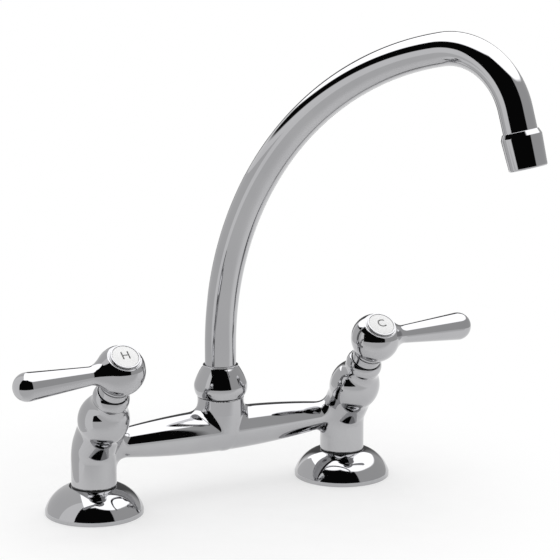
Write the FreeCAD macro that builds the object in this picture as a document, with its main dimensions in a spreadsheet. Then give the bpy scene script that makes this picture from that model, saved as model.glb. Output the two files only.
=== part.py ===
"""Bridge kitchen faucet: two deck pillars joined by a bridge, a swivel spout and two quarter-turn levers.

Millimetres. X runs along the bridge, hot pillar at -X and cold pillar at +X. -Y faces the user and Z is up.
The origin is on the deck plane, midway between the pillars.
"""

import FreeCAD, Part
import math
import os
import re

import Sketcher

Vector = FreeCAD.Vector

# Driving dimensions, in mm and degrees. Heights are above the deck, reaches are along the valve axis
# from the point where it leaves the pillar axis, unless a comment says otherwise.
SIZES = {
    # layout
    "inlet_spacing": 200,
    "arm_axis_height": 47.8,
    "arm_rise": 1.3,
    "valve_tilt": 35.5,
    "hot_lever_angle": 183,
    "cold_lever_angle": 1,
    "spout_heading": -65,
    # fits
    "running_clearance": 0.06,
    "assembly_gap": 0.1,
    "hidden_gap": 0.5,
    # deck flange with its gasket
    "flange_diameter": 69.8,
    "flange_rim_height": 3,
    "flange_dome_radius": 26,
    "flange_crown_diameter": 35.6,
    "flange_height": 19.8,
    "flange_wall": 2.4,
    "flange_lip": 1.8,
    "gasket_width": 4,
    "gasket_thickness": 1.6,
    # pillar and its inlet
    "column_diameter": 32.2,
    "foot_seal_thickness": 0.6,
    "foot_seal_inset": 0.5,
    "foot_spigot_diameter": 26,
    "foot_spigot_length": 16,
    "inlet_thread_bore": 18.63,
    "inlet_thread_length": 15,
    "inlet_bore_diameter": 8,
    "elbow_bend_radius": 24,
    # bridge arms
    "arm_mid_diameter": 31.2,
    "arm_waist_diameter": 21.5,
    "arm_waist_reach": 75,
    "arm_fillet_radius": 8,
    "arm_bore_diameter": 8,
    "arm_bore_margin": 2,
    # hub, its spigot and the spout socket
    "hub_diameter": 33.5,
    "hub_root_diameter": 33,
    "hub_root_rise": 0.5,
    "hub_taper_height": 14,
    "hub_rise": 9.3,
    "hub_fillet_radius": 7,
    "hub_spigot_diameter": 27,
    "hub_spigot_length": 10.5,
    "spout_socket_diameter": 20.2,
    "spout_socket_depth": 25,
    "hub_bore_diameter": 12,
    # valve housing
    "housing_diameter": 36.4,
    "housing_reach": 32,
    "housing_bulge_radius": 22,
    "housing_blend_radius": 20,
    "waist_diameter": 24.8,
    "waist_radius": 9.5,
    "bead_diameter": 26.1,
    "bead_radius": 8.3,
    "mouth_rise": 5.22,
    "mouth_bore_diameter": 21.8,
    "mouth_bore_depth": 6.2,
    "valve_thread_bore": 16.9,
    "valve_thread_length": 10,
    "chamber_diameter": 16.6,
    "chamber_floor_reach": 24,
    "seat_port_diameter": 7,
    "outlet_port_diameter": 4.2,
    "outlet_port_offset": 14,
    "outlet_port_slant": 10,
    "outlet_port_length": 33,
    # ceramic cartridge
    "seat_seal_thickness": 2.5,
    "seat_seal_bore": 10,
    "sleeve_diameter": 15.8,
    "disc_diameter": 13.8,
    "disc_thickness": 3,
    "disc_port_diameter": 3,
    "disc_port_offset": 3.4,
    "window_width": 7,
    "window_height": 3,
    "stem_diameter": 8,
    "drive_flange_thickness": 3.6,
    "gland_hex_flats": 18.6,
    "gland_hex_height": 3.5,
    "gland_neck_diameter": 13,
    "gland_neck_length": 4,
    "stem_setback": 4,
    "spline_length": 10,
    "spline_count": 12,
    "spline_groove_width": 1,
    "spline_groove_depth": 0.6,
    "stem_ring_section": 1.8,
    "stem_ring_spacing": 4.4,
    "circlip_diameter": 11,
    "circlip_thickness": 1,
    "circlip_groove_depth": 0.8,
    "circlip_opening": 40,
    # lever
    "ball_diameter": 35,
    "ball_rise": 22.8,
    "ball_flat_diameter": 23.4,
    "skirt_diameter": 20.8,
    "skirt_length": 8,
    "skirt_wall": 2,
    "skirt_ring_diameter": 22.4,
    "skirt_ring_height": 1.3,
    "skirt_ring_gap": 1,
    "lever_neck_diameter": 13.1,
    "lever_neck_reach": 24,
    "lever_end_diameter": 20,
    "lever_end_reach": 69.5,
    "lever_fillet_radius": 7,
    "index_pocket_depth": 4.2,
    # handle screw
    "screw_diameter": 4,
    "screw_length": 12,
    "screw_head_diameter": 7,
    "screw_head_height": 3,
    "screw_socket_flats": 2.5,
    "screw_socket_depth": 1.6,
    "screw_web": 3.5,
    # index ring and button
    "index_ring_diameter": 21,
    "index_ring_wall": 1.1,
    "index_ring_height": 6.2,
    "index_flange_diameter": 22.6,
    "index_flange_height": 0.6,
    "index_button_height": 6,
    "index_button_crown_radius": 60,
    # spout tube
    "tube_diameter": 22.5,
    "tube_wall": 1.2,
    "spout_riser_length": 21.8,
    "spout_sweep_radius": 232,
    "spout_sweep_turn": 78.5,
    "spout_crown_radius": 49,
    "spout_crown_turn": 85.5,
    "spout_outlet_straight": 18,
    # spout shank and union
    "shank_flange_diameter": 24.4,
    "shank_flange_thickness": 3,
    "shank_bore_diameter": 15,
    "shank_plug_length": 10,
    "shank_ring_section": 2.4,
    "shank_ring_inset": 5,
    "shank_ring_spacing": 8,
    "base_washer_thickness": 1,
    "glide_ring_thickness": 1,
    "union_base_diameter": 33.9,
    "union_shoulder_diameter": 37.9,
    "union_shoulder_height": 10,
    "union_shoulder_radius": 12,
    "union_flank_radius": 45,
    "union_top_diameter": 25.5,
    "union_height": 23.3,
    "union_rim_height": 1,
    "union_gap": 0.4,
    "union_tube_clearance": 0.25,
    # aerator
    "nipple_plug_length": 8,
    "nipple_bore_diameter": 15,
    "nipple_thread_diameter": 22,
    "nipple_thread_length": 9,
    "aerator_cone_height": 3.5,
    "aerator_cone_diameter": 24,
    "aerator_diameter": 27,
    "aerator_outlet_diameter": 25.3,
    "aerator_length": 21,
    "aerator_chamfer": 0.8,
    "aerator_lip_diameter": 18.6,
    "aerator_lip_thickness": 1.6,
    "aerator_washer_thickness": 1.6,
    "aerator_washer_width": 3,
    "insert_rim_width": 1.5,
    "insert_plate_thickness": 1.2,
    "insert_hole_diameter": 1.6,
    "insert_hole_count": 12,
    "insert_hole_circle": 12,
    "screen_thickness": 0.6,
    "screen_hole_diameter": 1.4,
    "screen_hole_pitch": 2.6,
    "screen_hole_rows": 5,
}

# Lengths that follow from the driving dimensions.
DERIVED = {
    "column_r": "column_diameter / 2",
    "column_foot": "flange_height + foot_seal_thickness",
    "spigot_r": "foot_spigot_diameter / 2",
    "flange_r": "flange_diameter / 2",
    "flange_crown_r": "flange_crown_diameter / 2",
    "flange_bore_r": "spigot_r + assembly_gap",
    "gasket_r": "flange_r - flange_lip",
    "gasket_bore_r": "gasket_r - gasket_width",
    "spigot_bottom": "column_foot - foot_spigot_length",
    "elbow_height": "arm_axis_height - arm_rise",
    "elbow_tangent": "elbow_bend_radius * tan(valve_tilt / 2)",
    "housing_r": "housing_diameter / 2",
    "blend_drop": "(housing_r - column_r) / (housing_bulge_radius + housing_blend_radius)",
    "blend_run": "sqrt(2 * blend_drop - blend_drop^2)",
    "waist_r": "waist_diameter / 2",
    "waist_drop": "(housing_r - waist_r) / (housing_bulge_radius + waist_radius)",
    "waist_run": "sqrt(2 * waist_drop - waist_drop^2)",
    "waist_reach": "housing_reach + (housing_bulge_radius + waist_radius) * waist_run",
    "bead_r": "bead_diameter / 2",
    "bead_drop": "(bead_r - waist_r) / (waist_radius + bead_radius)",
    "bead_run": "sqrt(2 * bead_drop - bead_drop^2)",
    "bead_reach": "waist_reach + (waist_radius + bead_radius) * bead_run",
    "mouth_reach": "bead_reach + mouth_rise",
    "mouth_r": "bead_r - bead_radius + sqrt(bead_radius^2 - mouth_rise^2)",
    "thread_top": "mouth_reach - mouth_bore_depth",
    "thread_bottom": "thread_top - valve_thread_length",
    "ball_reach": "mouth_reach + ball_rise",
    "stem_reach": "ball_reach - stem_setback",
    "arm_mid_r": "arm_mid_diameter / 2",
    "arm_drop": "arm_mid_r - arm_waist_diameter / 2",
    "arm_bow_radius": "(arm_waist_reach^2 + arm_drop^2) / (2 * arm_drop)",
    "arm_end_r": "arm_mid_r - arm_bow_radius + sqrt(arm_bow_radius^2 - (inlet_spacing / 2)^2)",
    "arm_bore_end": "inlet_spacing / 2 - inlet_bore_diameter / 2 - arm_bore_margin",
    "hub_r": "hub_diameter / 2",
    "hub_height": "arm_axis_height + arm_mid_r + hub_rise",
    "hub_spigot_top": "hub_height + hub_spigot_length",
    "socket_r": "spout_socket_diameter / 2",
    "socket_floor": "hub_spigot_top - spout_socket_depth",
    "disc_r": "disc_diameter / 2",
    "disc_bottom": "chamber_floor_reach + seat_seal_thickness",
    "disc_joint": "disc_bottom + disc_thickness",
    "drive_bottom": "disc_joint + running_clearance + disc_thickness",
    "drive_top": "drive_bottom + drive_flange_thickness",
    "disc_bore_r": "disc_r + assembly_gap",
    "disc_bore_top": "drive_top + assembly_gap",
    "stem_r": "stem_diameter / 2",
    "gland_neck_top": "thread_top + gland_hex_height + gland_neck_length",
    "circlip_bottom": "gland_neck_top + assembly_gap",
    "circlip_top": "circlip_bottom + circlip_thickness",
    "spline_bottom": "stem_reach - spline_length",
    "stem_ring_r": "stem_r + running_clearance / 2 - stem_ring_section / 2",
    "stem_ring_mid": "thread_bottom + valve_thread_length / 2",
    "ball_r": "ball_diameter / 2",
    "flat_reach": "ball_reach + sqrt(ball_r^2 - (ball_flat_diameter / 2)^2)",
    "skirt_r": "skirt_diameter / 2",
    "skirt_ring_r": "skirt_ring_diameter / 2",
    "skirt_root": "ball_reach - sqrt(ball_r^2 - skirt_ring_r^2)",
    "upper_ring_bottom": "skirt_root - skirt_ring_height",
    "lower_ring_top": "upper_ring_bottom - skirt_ring_gap",
    "lower_ring_bottom": "lower_ring_top - skirt_ring_height",
    "skirt_bottom": "lower_ring_bottom - skirt_length",
    "socket_top": "stem_reach + hidden_gap",
    "screw_seat": "socket_top + screw_web",
    "pocket_floor": "flat_reach - index_pocket_depth",
    "lever_neck_r": "lever_neck_diameter / 2",
    "lever_end_r": "lever_end_diameter / 2",
    "screw_r": "screw_diameter / 2",
    "screw_tip": "screw_seat - screw_length",
    "ring_r": "index_ring_diameter / 2",
    "button_r": "ring_r - index_ring_wall - assembly_gap",
    "tube_r": "tube_diameter / 2",
    "tube_bore_r": "tube_r - tube_wall",
    "shank_flange_bottom": "hub_spigot_top + base_washer_thickness",
    "tube_bottom": "shank_flange_bottom + shank_flange_thickness",
    "union_shoulder_floor": "tube_bottom + running_clearance + glide_ring_thickness",
    "union_bottom": "hub_height + union_gap",
    "union_top": "hub_height + union_height",
    "shank_r": "socket_r - running_clearance",
    "shank_bottom": "socket_floor + hidden_gap",
    "shank_ring_r": "socket_r - running_clearance / 2 - shank_ring_section / 2",
    "spout_riser_top": "tube_bottom + spout_riser_length",
    "spout_turn": "spout_sweep_turn + spout_crown_turn",
    "sweep_end_x": "spout_sweep_radius * (1 - cos(spout_sweep_turn))",
    "sweep_end_z": "spout_riser_top + spout_sweep_radius * sin(spout_sweep_turn)",
    "crown_end_x": "sweep_end_x + spout_crown_radius * (cos(spout_sweep_turn) - cos(spout_turn))",
    "crown_end_z": "sweep_end_z + spout_crown_radius * (sin(spout_turn) - sin(spout_sweep_turn))",
    "outlet_x": "crown_end_x + spout_outlet_straight * sin(spout_turn)",
    "outlet_z": "crown_end_z + spout_outlet_straight * cos(spout_turn)",
    "nipple_r": "nipple_thread_diameter / 2",
    "aerator_bore_r": "nipple_r + assembly_gap",
    "insert_top": "nipple_thread_length + aerator_washer_thickness",
    "screen_bottom": "aerator_length - aerator_lip_thickness",
    "screen_top": "screen_bottom - screen_thickness",
}

DOC = FreeCAD.newDocument("BridgeFaucet")
SHEET = DOC.addObject("Spreadsheet::Sheet", "Sizes")
SUB_PARTS = []


def fill_sheet():
    """Write each driving dimension into its own named cell."""
    for row, (name, size) in enumerate(SIZES.items(), start=1):
        SHEET.set(f"A{row}", name)
        SHEET.set(f"B{row}", str(size))
        SHEET.setAlias(f"B{row}", name)
    DOC.recompute()


def formula(text):
    """Spell out derived lengths and point every driving dimension at its cell."""

    def swap(match):
        word = match.group(0)
        if word in DERIVED:
            return f"({formula(DERIVED[word])})"
        if word in SIZES:
            return f"Sizes.{word}"
        return word

    return re.sub(r"[a-z][a-z_]*", swap, str(text))


def value(text):
    """The present value of a formula."""
    return float(SHEET.evalExpression(formula(text)))


def new_body(label, placement=None):
    """An empty body, placed by a formula and written out under its label."""
    body = DOC.addObject("PartDesign::Body", label)
    body.Label = label
    if placement:
        body.setExpression("Placement", formula(placement))
    SUB_PARTS.append(body)
    return body


def origin_plane(body, role):
    return next(item for item in body.Origin.OriginFeatures if item.Role == role)


def new_sketch(body, name, role, offset=None):
    """A sketch on one of the body's origin planes, moved in that plane's own axes by a placement formula."""
    sketch = body.newObject("Sketcher::SketchObject", name)
    sketch.AttachmentSupport = [(origin_plane(body, role), "")]
    sketch.MapMode = "FlatFace"
    if offset:
        sketch.setExpression("AttachmentOffset", formula(offset))
    return sketch


def fix_point(sketch, geometry, end, x, y):
    """Hold one end of a sketch curve at (x, y), each given as a formula."""
    for kind, text, axis in (("DistanceX", x, -2), ("DistanceY", y, -1)):
        if text == "0":
            sketch.addConstraint(Sketcher.Constraint("PointOnObject", geometry, end, axis))
            continue
        index = sketch.addConstraint(Sketcher.Constraint(kind, -1, 1, geometry, end, value(text)))
        sketch.setExpression(f"Constraints[{index}]", formula(text))


def arc_between(start, finish, radius, side):
    """The short arc from start to finish; side is 1 where it turns left and -1 where it turns right."""
    chord = finish - start
    rise = math.sqrt(radius**2 - (chord.Length / 2) ** 2)
    normal = Vector(-chord.y, chord.x, 0).normalize()
    centre = (start + finish) / 2 + normal * rise * side
    first, last = (start, finish) if side > 0 else (finish, start)
    angles = [math.atan2(point.y - centre.y, point.x - centre.x) for point in (first, last)]
    return Part.ArcOfCircle(Part.Circle(centre, Vector(0, 0, 1), radius), *angles)


def draw_outline(sketch, steps, closed=True):
    """Draw a chain through steps of (x, y) or (x, y, arc radius, side), the arc leading to that point."""
    places = [Vector(value(step[0]), value(step[1]), 0) for step in steps]
    ends = []
    count = len(steps) if closed else len(steps) - 1
    for index in range(count):
        target = (index + 1) % len(steps)
        start, finish = places[index], places[target]
        if len(steps[target]) == 2:
            curve = sketch.addGeometry(Part.LineSegment(start, finish))
            ends.append((curve, 1, 2))
            continue
        radius, side = steps[target][2:]
        curve = sketch.addGeometry(arc_between(start, finish, value(radius), side))
        ends.append((curve, 1, 2) if side > 0 else (curve, 2, 1))
        number = sketch.addConstraint(Sketcher.Constraint("Radius", curve, value(radius)))
        sketch.setExpression(f"Constraints[{number}]", formula(radius))
    for index, (curve, first, last) in enumerate(ends):
        fix_point(sketch, curve, first, *steps[index][:2])
        if index + 1 < len(ends) or closed:
            following = ends[(index + 1) % len(ends)]
            sketch.addConstraint(Sketcher.Constraint("Coincident", curve, last, following[0], following[1]))
        else:
            fix_point(sketch, curve, last, *steps[-1][:2])


def draw_circle(sketch, radius, x="0", y="0"):
    centre = Vector(value(x), value(y), 0)
    curve = sketch.addGeometry(Part.Circle(centre, Vector(0, 0, 1), value(radius)))
    fix_point(sketch, curve, 3, x, y)
    number = sketch.addConstraint(Sketcher.Constraint("Radius", curve, value(radius)))
    sketch.setExpression(f"Constraints[{number}]", formula(radius))


def draw_hexagon(sketch, flats):
    """A hexagon across the given flats, with two corners on the sketch's X axis."""
    corner = f"({flats}) / 2 / cos(30)"
    sides = 6
    steps = [
        (f"{corner} * cos({60 * number})", f"{corner} * sin({60 * number})" if number % 3 else "0")
        for number in range(sides)
    ]
    draw_outline(sketch, steps)


def add_feature(body, kind, name, profile, **settings):
    """A PartDesign feature on a profile; settings that are text are bound as formulas."""
    feature = body.newObject(f"PartDesign::{kind}", name)
    feature.Profile = profile
    for setting, given in settings.items():
        if isinstance(given, str):
            feature.setExpression(setting, formula(given))
        else:
            setattr(feature, setting, given)
    return feature


def cut_through(body, name, profile):
    """A pocket that runs right through the body on both sides of its sketch."""
    pocket = add_feature(body, "Pocket", name, profile, Midplane=True)
    pocket.Type = "ThroughAll"
    return pocket


def revolve(body, name, steps, cut=False, role="XZ_Plane", offset=None, axis="V_Axis", angle="360"):
    """Turn a closed outline about one of its sketch's axes, adding to the body or cutting it."""
    sketch = new_sketch(body, f"{name}_outline", role, offset)
    draw_outline(sketch, steps)
    kind = "Groove" if cut else "Revolution"
    return add_feature(body, kind, name, sketch, ReferenceAxis=(sketch, [axis]), Angle=angle)


def ring_steps(inner, outer, bottom, top):
    return [(inner, bottom), (outer, bottom), (outer, top), (inner, top)]


def turned_ring(label, placement, inner, outer, bottom, top):
    """A plain ring or disc on its own axis."""
    body = new_body(label, placement)
    revolve(body, "ring", ring_steps(inner, outer, bottom, top))
    return body


def mirrored(body, name, features):
    """Repeat features on the other side of the body's YZ plane."""
    mirror = body.newObject("PartDesign::Mirrored", name)
    mirror.Originals = features
    mirror.MirrorPlane = (origin_plane(body, "YZ_Plane"), [""])
    body.Tip = mirror
    return mirror


def o_rings(label, placement, ring_radius, section, heights):
    """Equal O-rings at several heights, kept together as one group of separate solids."""
    rings = []
    for height in heights:
        ring = DOC.addObject("Part::Torus", "o_ring")
        ring.setExpression("Radius1", formula(ring_radius))
        ring.setExpression("Radius2", formula(f"{section} / 2"))
        ring.setExpression("Placement.Base.z", formula(height))
        rings.append(ring)
    group = DOC.addObject("Part::Compound", label)
    group.Label = label
    group.Links = rings
    group.setExpression("Placement", formula(placement))
    SUB_PARTS.append(group)


# Where the valve parts, the lever parts and the spout parts stand.
SIDES = {"hot": -1, "cold": 1}


def pillar_place(side):
    return f"placement(vector({SIDES[side]} * inlet_spacing / 2; 0; 0); rotation(vector(1; 0; 0); 0))"


def valve_place(side, turn="0"):
    turned = f"rotation(vector(1; 0; 0); valve_tilt) * rotation(vector(0; 0; 1); {turn})"
    return f"placement(vector({SIDES[side]} * inlet_spacing / 2; 0; elbow_height); {turned})"


SPOUT_PLACE = "placement(vector(0; 0; 0); rotation(vector(0; 0; 1); spout_heading))"
OUTLET_PLACE = (
    "placement(vector(outlet_x * cos(spout_heading); outlet_x * sin(spout_heading); outlet_z);"
    " rotation(vector(0; 0; 1); spout_heading) * rotation(vector(0; 1; 0); spout_turn))"
)


# The bridge body -----------------------------------------------------------------------------------

PILLAR_SKETCH = "placement(vector(0; 0; -inlet_spacing / 2); rotation(vector(0; 0; 1); 0))"
VALVE_SKETCH = "placement(vector(0; elbow_height; -inlet_spacing / 2); rotation(vector(0; 0; 1); valve_tilt))"
BEND_SKETCH = (
    "placement(vector(-inlet_spacing / 2; -elbow_bend_radius; elbow_height - elbow_tangent);"
    " rotation(vector(0; 0; 1); 0))"
)
PORT_SKETCH = (
    "placement(vector(outlet_port_offset - inlet_spacing / 2; elbow_height; 0);"
    " rotation(vector(1; 0; 0); valve_tilt) * rotation(vector(0; 0; 1); outlet_port_slant))"
)
ARM_SKETCH = "placement(vector(0; arm_axis_height; 0); rotation(vector(0; 0; 1); 0))"


def bridge_arms(body):
    """The bowed arms, one turned form about the arm axis."""
    arms = [
        ("-inlet_spacing / 2", "0"),
        ("inlet_spacing / 2", "0"),
        ("inlet_spacing / 2", "arm_end_r"),
        ("-inlet_spacing / 2", "arm_end_r", "arm_bow_radius", 1),
    ]
    revolve(body, "arms", arms, offset=ARM_SKETCH, axis="H_Axis")


def bridge_hub(body):
    """The upright hub, rounded under the arms, with the threaded spigot for the union nut."""
    root = "hub_root_diameter / 2"
    hub = [
        ("0", f"arm_axis_height + hub_root_rise - {root}"),
        (root, "arm_axis_height + hub_root_rise", root, 1),
        ("hub_r", "arm_axis_height + hub_taper_height"),
        ("hub_r", "hub_height"),
        ("hub_spigot_diameter / 2", "hub_height"),
        ("hub_spigot_diameter / 2", "hub_spigot_top"),
        ("0", "hub_spigot_top"),
    ]
    revolve(body, "hub", hub)


def bridge_pillar(body):
    """One pillar: foot spigot and column, the bend, then the tilted ball housing with its mouth."""
    bend_height = "elbow_height - elbow_tangent"
    column = [
        ("0", "spigot_bottom"),
        ("spigot_r", "spigot_bottom"),
        ("spigot_r", "column_foot"),
        ("column_r", "column_foot"),
        ("column_r", bend_height),
        ("0", bend_height),
    ]
    upright = revolve(body, "column", column, role="YZ_Plane", offset=PILLAR_SKETCH)
    section = new_sketch(body, "bend_outline", "XY_Plane", BEND_SKETCH)
    draw_circle(section, "column_r", y="elbow_bend_radius")
    axis = (section, ["H_Axis"])
    bend = add_feature(body, "Revolution", "bend", section, ReferenceAxis=axis, Angle="valve_tilt")
    housing = [
        ("0", "elbow_tangent"),
        ("column_r", "elbow_tangent"),
        ("column_r", "housing_reach - (housing_bulge_radius + housing_blend_radius) * blend_run"),
        (
            "housing_r - housing_bulge_radius * blend_drop",
            "housing_reach - housing_bulge_radius * blend_run",
            "housing_blend_radius",
            -1,
        ),
        (
            "housing_r - housing_bulge_radius * waist_drop",
            "housing_reach + housing_bulge_radius * waist_run",
            "housing_bulge_radius",
            1,
        ),
        (
            "waist_r + waist_radius * bead_drop",
            "waist_reach + waist_radius * bead_run",
            "waist_radius",
            -1,
        ),
        ("mouth_r", "mouth_reach", "bead_radius", 1),
        ("0", "mouth_reach"),
    ]
    ball = revolve(body, "housing", housing, role="YZ_Plane", offset=VALVE_SKETCH)
    return [upright, bend, ball]


def pillar_bores(body):
    """Inlet socket and riser, valve chamber, thread and mouth recess, and the port back to the arm."""
    riser = [
        ("0", "spigot_bottom - hidden_gap"),
        ("inlet_thread_bore / 2", "spigot_bottom - hidden_gap"),
        ("inlet_thread_bore / 2", "spigot_bottom + inlet_thread_length"),
        ("inlet_bore_diameter / 2", "spigot_bottom + inlet_thread_length"),
        ("inlet_bore_diameter / 2", "elbow_height"),
        ("0", "elbow_height"),
    ]
    inlet = revolve(body, "inlet", riser, cut=True, role="YZ_Plane", offset=PILLAR_SKETCH)
    chamber = [
        ("0", "0"),
        ("seat_port_diameter / 2", "0"),
        ("seat_port_diameter / 2", "chamber_floor_reach"),
        ("chamber_diameter / 2", "chamber_floor_reach"),
        ("chamber_diameter / 2", "thread_bottom"),
        ("valve_thread_bore / 2", "thread_bottom"),
        ("valve_thread_bore / 2", "thread_top"),
        ("mouth_bore_diameter / 2", "thread_top"),
        ("mouth_bore_diameter / 2", "mouth_reach + hidden_gap"),
        ("0", "mouth_reach + hidden_gap"),
    ]
    valve = revolve(body, "valve_chamber", chamber, cut=True, role="YZ_Plane", offset=VALVE_SKETCH)
    port = ring_steps("0", "outlet_port_diameter / 2", "0", "outlet_port_length")
    outlet = revolve(body, "outlet_port", port, cut=True, offset=PORT_SKETCH)
    return [inlet, valve, outlet]


def bridge_waterways(body):
    """The bore along both arms and the stepped spout socket down to it."""
    bore = [
        ("-arm_bore_end", "0"),
        ("arm_bore_end", "0"),
        ("arm_bore_end", "arm_bore_diameter / 2"),
        ("-arm_bore_end", "arm_bore_diameter / 2"),
    ]
    revolve(body, "arm_bore", bore, cut=True, offset=ARM_SKETCH, axis="H_Axis")
    socket = [
        ("0", "arm_axis_height"),
        ("hub_bore_diameter / 2", "arm_axis_height"),
        ("hub_bore_diameter / 2", "socket_floor"),
        ("socket_r", "socket_floor"),
        ("socket_r", "hub_spigot_top + hidden_gap"),
        ("0", "hub_spigot_top + hidden_gap"),
    ]
    revolve(body, "spout_socket", socket, cut=True)


def edges_where(shape, test):
    """Names of the edges whose sample points all pass a test, leaving out the point-like ones at poles."""
    samples = 7
    return [
        f"Edge{number}"
        for number, edge in enumerate(shape.Edges, start=1)
        if not edge.Degenerated and all(test(point) for point in edge.discretize(samples))
    ]


def add_fillet(body, name, radius, test):
    """Round the edges of the body so far that pass a test."""
    DOC.recompute()
    base = body.Tip
    fillet = body.newObject("PartDesign::Fillet", name)
    fillet.Base = (base, edges_where(base.Shape, test))
    fillet.setExpression("Radius", formula(radius))


def blend_arms(body):
    """Fillets where the arms run into the pillars and where the hub stands on the arms."""
    centre = value("arm_axis_height")
    bow = value("arm_bow_radius")
    middle = value("arm_mid_r")
    half = value("inlet_spacing / 2")
    pillar_reach = value("column_r + assembly_gap")
    hub_reach = value("hub_r")
    tolerance = value("assembly_gap")

    def on_arm(point):
        arm_radius = middle - bow + math.sqrt(bow**2 - point.x**2)
        return abs(math.hypot(point.y, point.z - centre) - arm_radius) < tolerance

    def at_pillar(point):
        return 0 < half - abs(point.x) < pillar_reach and on_arm(point)

    def at_hub(point):
        return abs(point.x) < hub_reach and on_arm(point)

    add_fillet(body, "pillar_blend", "arm_fillet_radius", at_pillar)
    add_fillet(body, "hub_blend", "hub_fillet_radius", at_hub)


def bridge_body():
    body = new_body("bridge_body")
    bridge_arms(body)
    bridge_hub(body)
    pillar = bridge_pillar(body)
    mirrored(body, "cold_pillar", pillar)
    blend_arms(body)
    bores = pillar_bores(body)
    mirrored(body, "cold_bores", bores)
    bridge_waterways(body)
    return body


# Deck flange, gasket and foot seal -----------------------------------------------------------------


def deck_flange(side):
    """A domed rose over the deck hole, hollow beneath, with a bore for the pillar's foot spigot."""
    steps = [
        ("flange_bore_r", "flange_height"),
        ("flange_bore_r", "flange_height - flange_wall"),
        ("flange_crown_r", "flange_height - flange_wall"),
        ("gasket_bore_r", "gasket_thickness + flange_wall", "flange_dome_radius - flange_wall", -1),
        ("gasket_bore_r", "gasket_thickness"),
        ("gasket_r", "gasket_thickness"),
        ("gasket_r", "0"),
        ("flange_r", "0"),
        ("flange_r", "flange_rim_height"),
        ("flange_crown_r", "flange_height", "flange_dome_radius", 1),
    ]
    body = new_body(f"{side}_deck_flange", pillar_place(side))
    revolve(body, "dome", steps)


def foot_parts(side):
    place = pillar_place(side)
    deck_flange(side)
    gasket_rim = "gasket_r - assembly_gap"
    turned_ring(f"{side}_deck_gasket", place, "gasket_bore_r", gasket_rim, "0", "gasket_thickness")
    seal_r = "column_r - foot_seal_inset"
    turned_ring(f"{side}_foot_seal", place, "flange_bore_r", seal_r, "flange_height", "column_foot")


# Ceramic cartridge ---------------------------------------------------------------------------------


def cartridge_body(side):
    """The brass gland: disc sleeve with side windows, thread, hexagon and neck, bored for the stem."""
    stem_bore = "stem_r + running_clearance"
    thread = "valve_thread_bore / 2 - assembly_gap"
    steps = [
        ("disc_bore_r", "disc_bottom"),
        ("sleeve_diameter / 2", "disc_bottom"),
        ("sleeve_diameter / 2", "thread_bottom"),
        (thread, "thread_bottom"),
        (thread, "thread_top"),
        ("gland_neck_diameter / 2", "thread_top"),
        ("gland_neck_diameter / 2", "gland_neck_top"),
        (stem_bore, "gland_neck_top"),
        (stem_bore, "disc_bore_top"),
        ("disc_bore_r", "disc_bore_top"),
    ]
    body = new_body(f"{side}_cartridge_body", valve_place(side))
    revolve(body, "gland", steps)
    level = "placement(vector(0; 0; thread_top); rotation(vector(0; 0; 1); 0))"
    hexagon = new_sketch(body, "hexagon_outline", "XY_Plane", level)
    draw_hexagon(hexagon, "gland_hex_flats")
    draw_circle(hexagon, stem_bore)
    add_feature(body, "Pad", "hexagon", hexagon, Length="gland_hex_height")
    window = new_sketch(body, "window_outline", "XZ_Plane")
    half = "window_width / 2"
    low = "drive_bottom - window_height / 2"
    high = "drive_bottom + window_height / 2"
    draw_outline(window, ring_steps(f"-{half}", half, low, high))
    cut_through(body, "windows", window)


def ceramic_disc(label, place, radius, bottom, port_x, port_y):
    """A ceramic disc with two opposite ports."""
    body = turned_ring(label, place, "0", radius, bottom, f"{bottom} + disc_thickness")
    ports = new_sketch(body, "port_outline", "XY_Plane")
    for sign in ("", "-"):
        x = f"{sign}({port_x})" if port_x != "0" else "0"
        y = f"{sign}({port_y})" if port_y != "0" else "0"
        draw_circle(ports, "disc_port_diameter / 2", x, y)
    cut_through(body, "ports", ports)


def groove_steps(radius, middle, section):
    """Outline of a groove that holds an O-ring of the given centre radius and section."""
    floor = f"{radius} - {section} / 2 - running_clearance"
    half = f"({section} / 2 + assembly_gap)"
    rim = f"{radius} + {section}"
    return ring_steps(floor, rim, f"{middle} - {half}", f"{middle} + {half}")


STEM_RING_HEIGHTS = ["stem_ring_mid - stem_ring_spacing / 2", "stem_ring_mid + stem_ring_spacing / 2"]


def cartridge_stem(side, place):
    """The spindle: drive flange, O-ring and clip grooves, splined end and tapped hole."""
    steps = [
        ("0", "drive_bottom"),
        ("disc_r - running_clearance", "drive_bottom"),
        ("disc_r - running_clearance", "drive_top"),
        ("stem_r", "drive_top"),
        ("stem_r", "stem_reach"),
        ("0", "stem_reach"),
    ]
    body = new_body(f"{side}_cartridge_stem", place)
    revolve(body, "spindle", steps)
    for height in STEM_RING_HEIGHTS:
        revolve(body, "ring_groove", groove_steps("stem_ring_r", height, "stem_ring_section"), cut=True)
    clip = ring_steps("stem_r - circlip_groove_depth", "stem_diameter", "circlip_bottom", "circlip_top")
    revolve(body, "clip_groove", clip, cut=True)
    hole = "screw_r + running_clearance"
    tapping = ring_steps("0", hole, "screw_tip - hidden_gap", "stem_reach + hidden_gap")
    revolve(body, "tapped_hole", tapping, cut=True)
    level = "placement(vector(0; 0; spline_bottom); rotation(vector(0; 0; 1); 0))"
    slot = new_sketch(body, "spline_outline", "XY_Plane", level)
    floor = "stem_r - spline_groove_depth"
    half = "spline_groove_width / 2"
    draw_outline(slot, ring_steps(floor, "stem_diameter", f"-{half}", half))
    length = "spline_length + hidden_gap"
    groove = add_feature(body, "Pocket", "spline_groove", slot, Length=length, Reversed=True)
    spline = body.newObject("PartDesign::PolarPattern", "spline")
    spline.Originals = [groove]
    spline.Axis = (slot, ["N_Axis"])
    spline.setExpression("Occurrences", formula("spline_count"))
    body.Tip = spline


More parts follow.
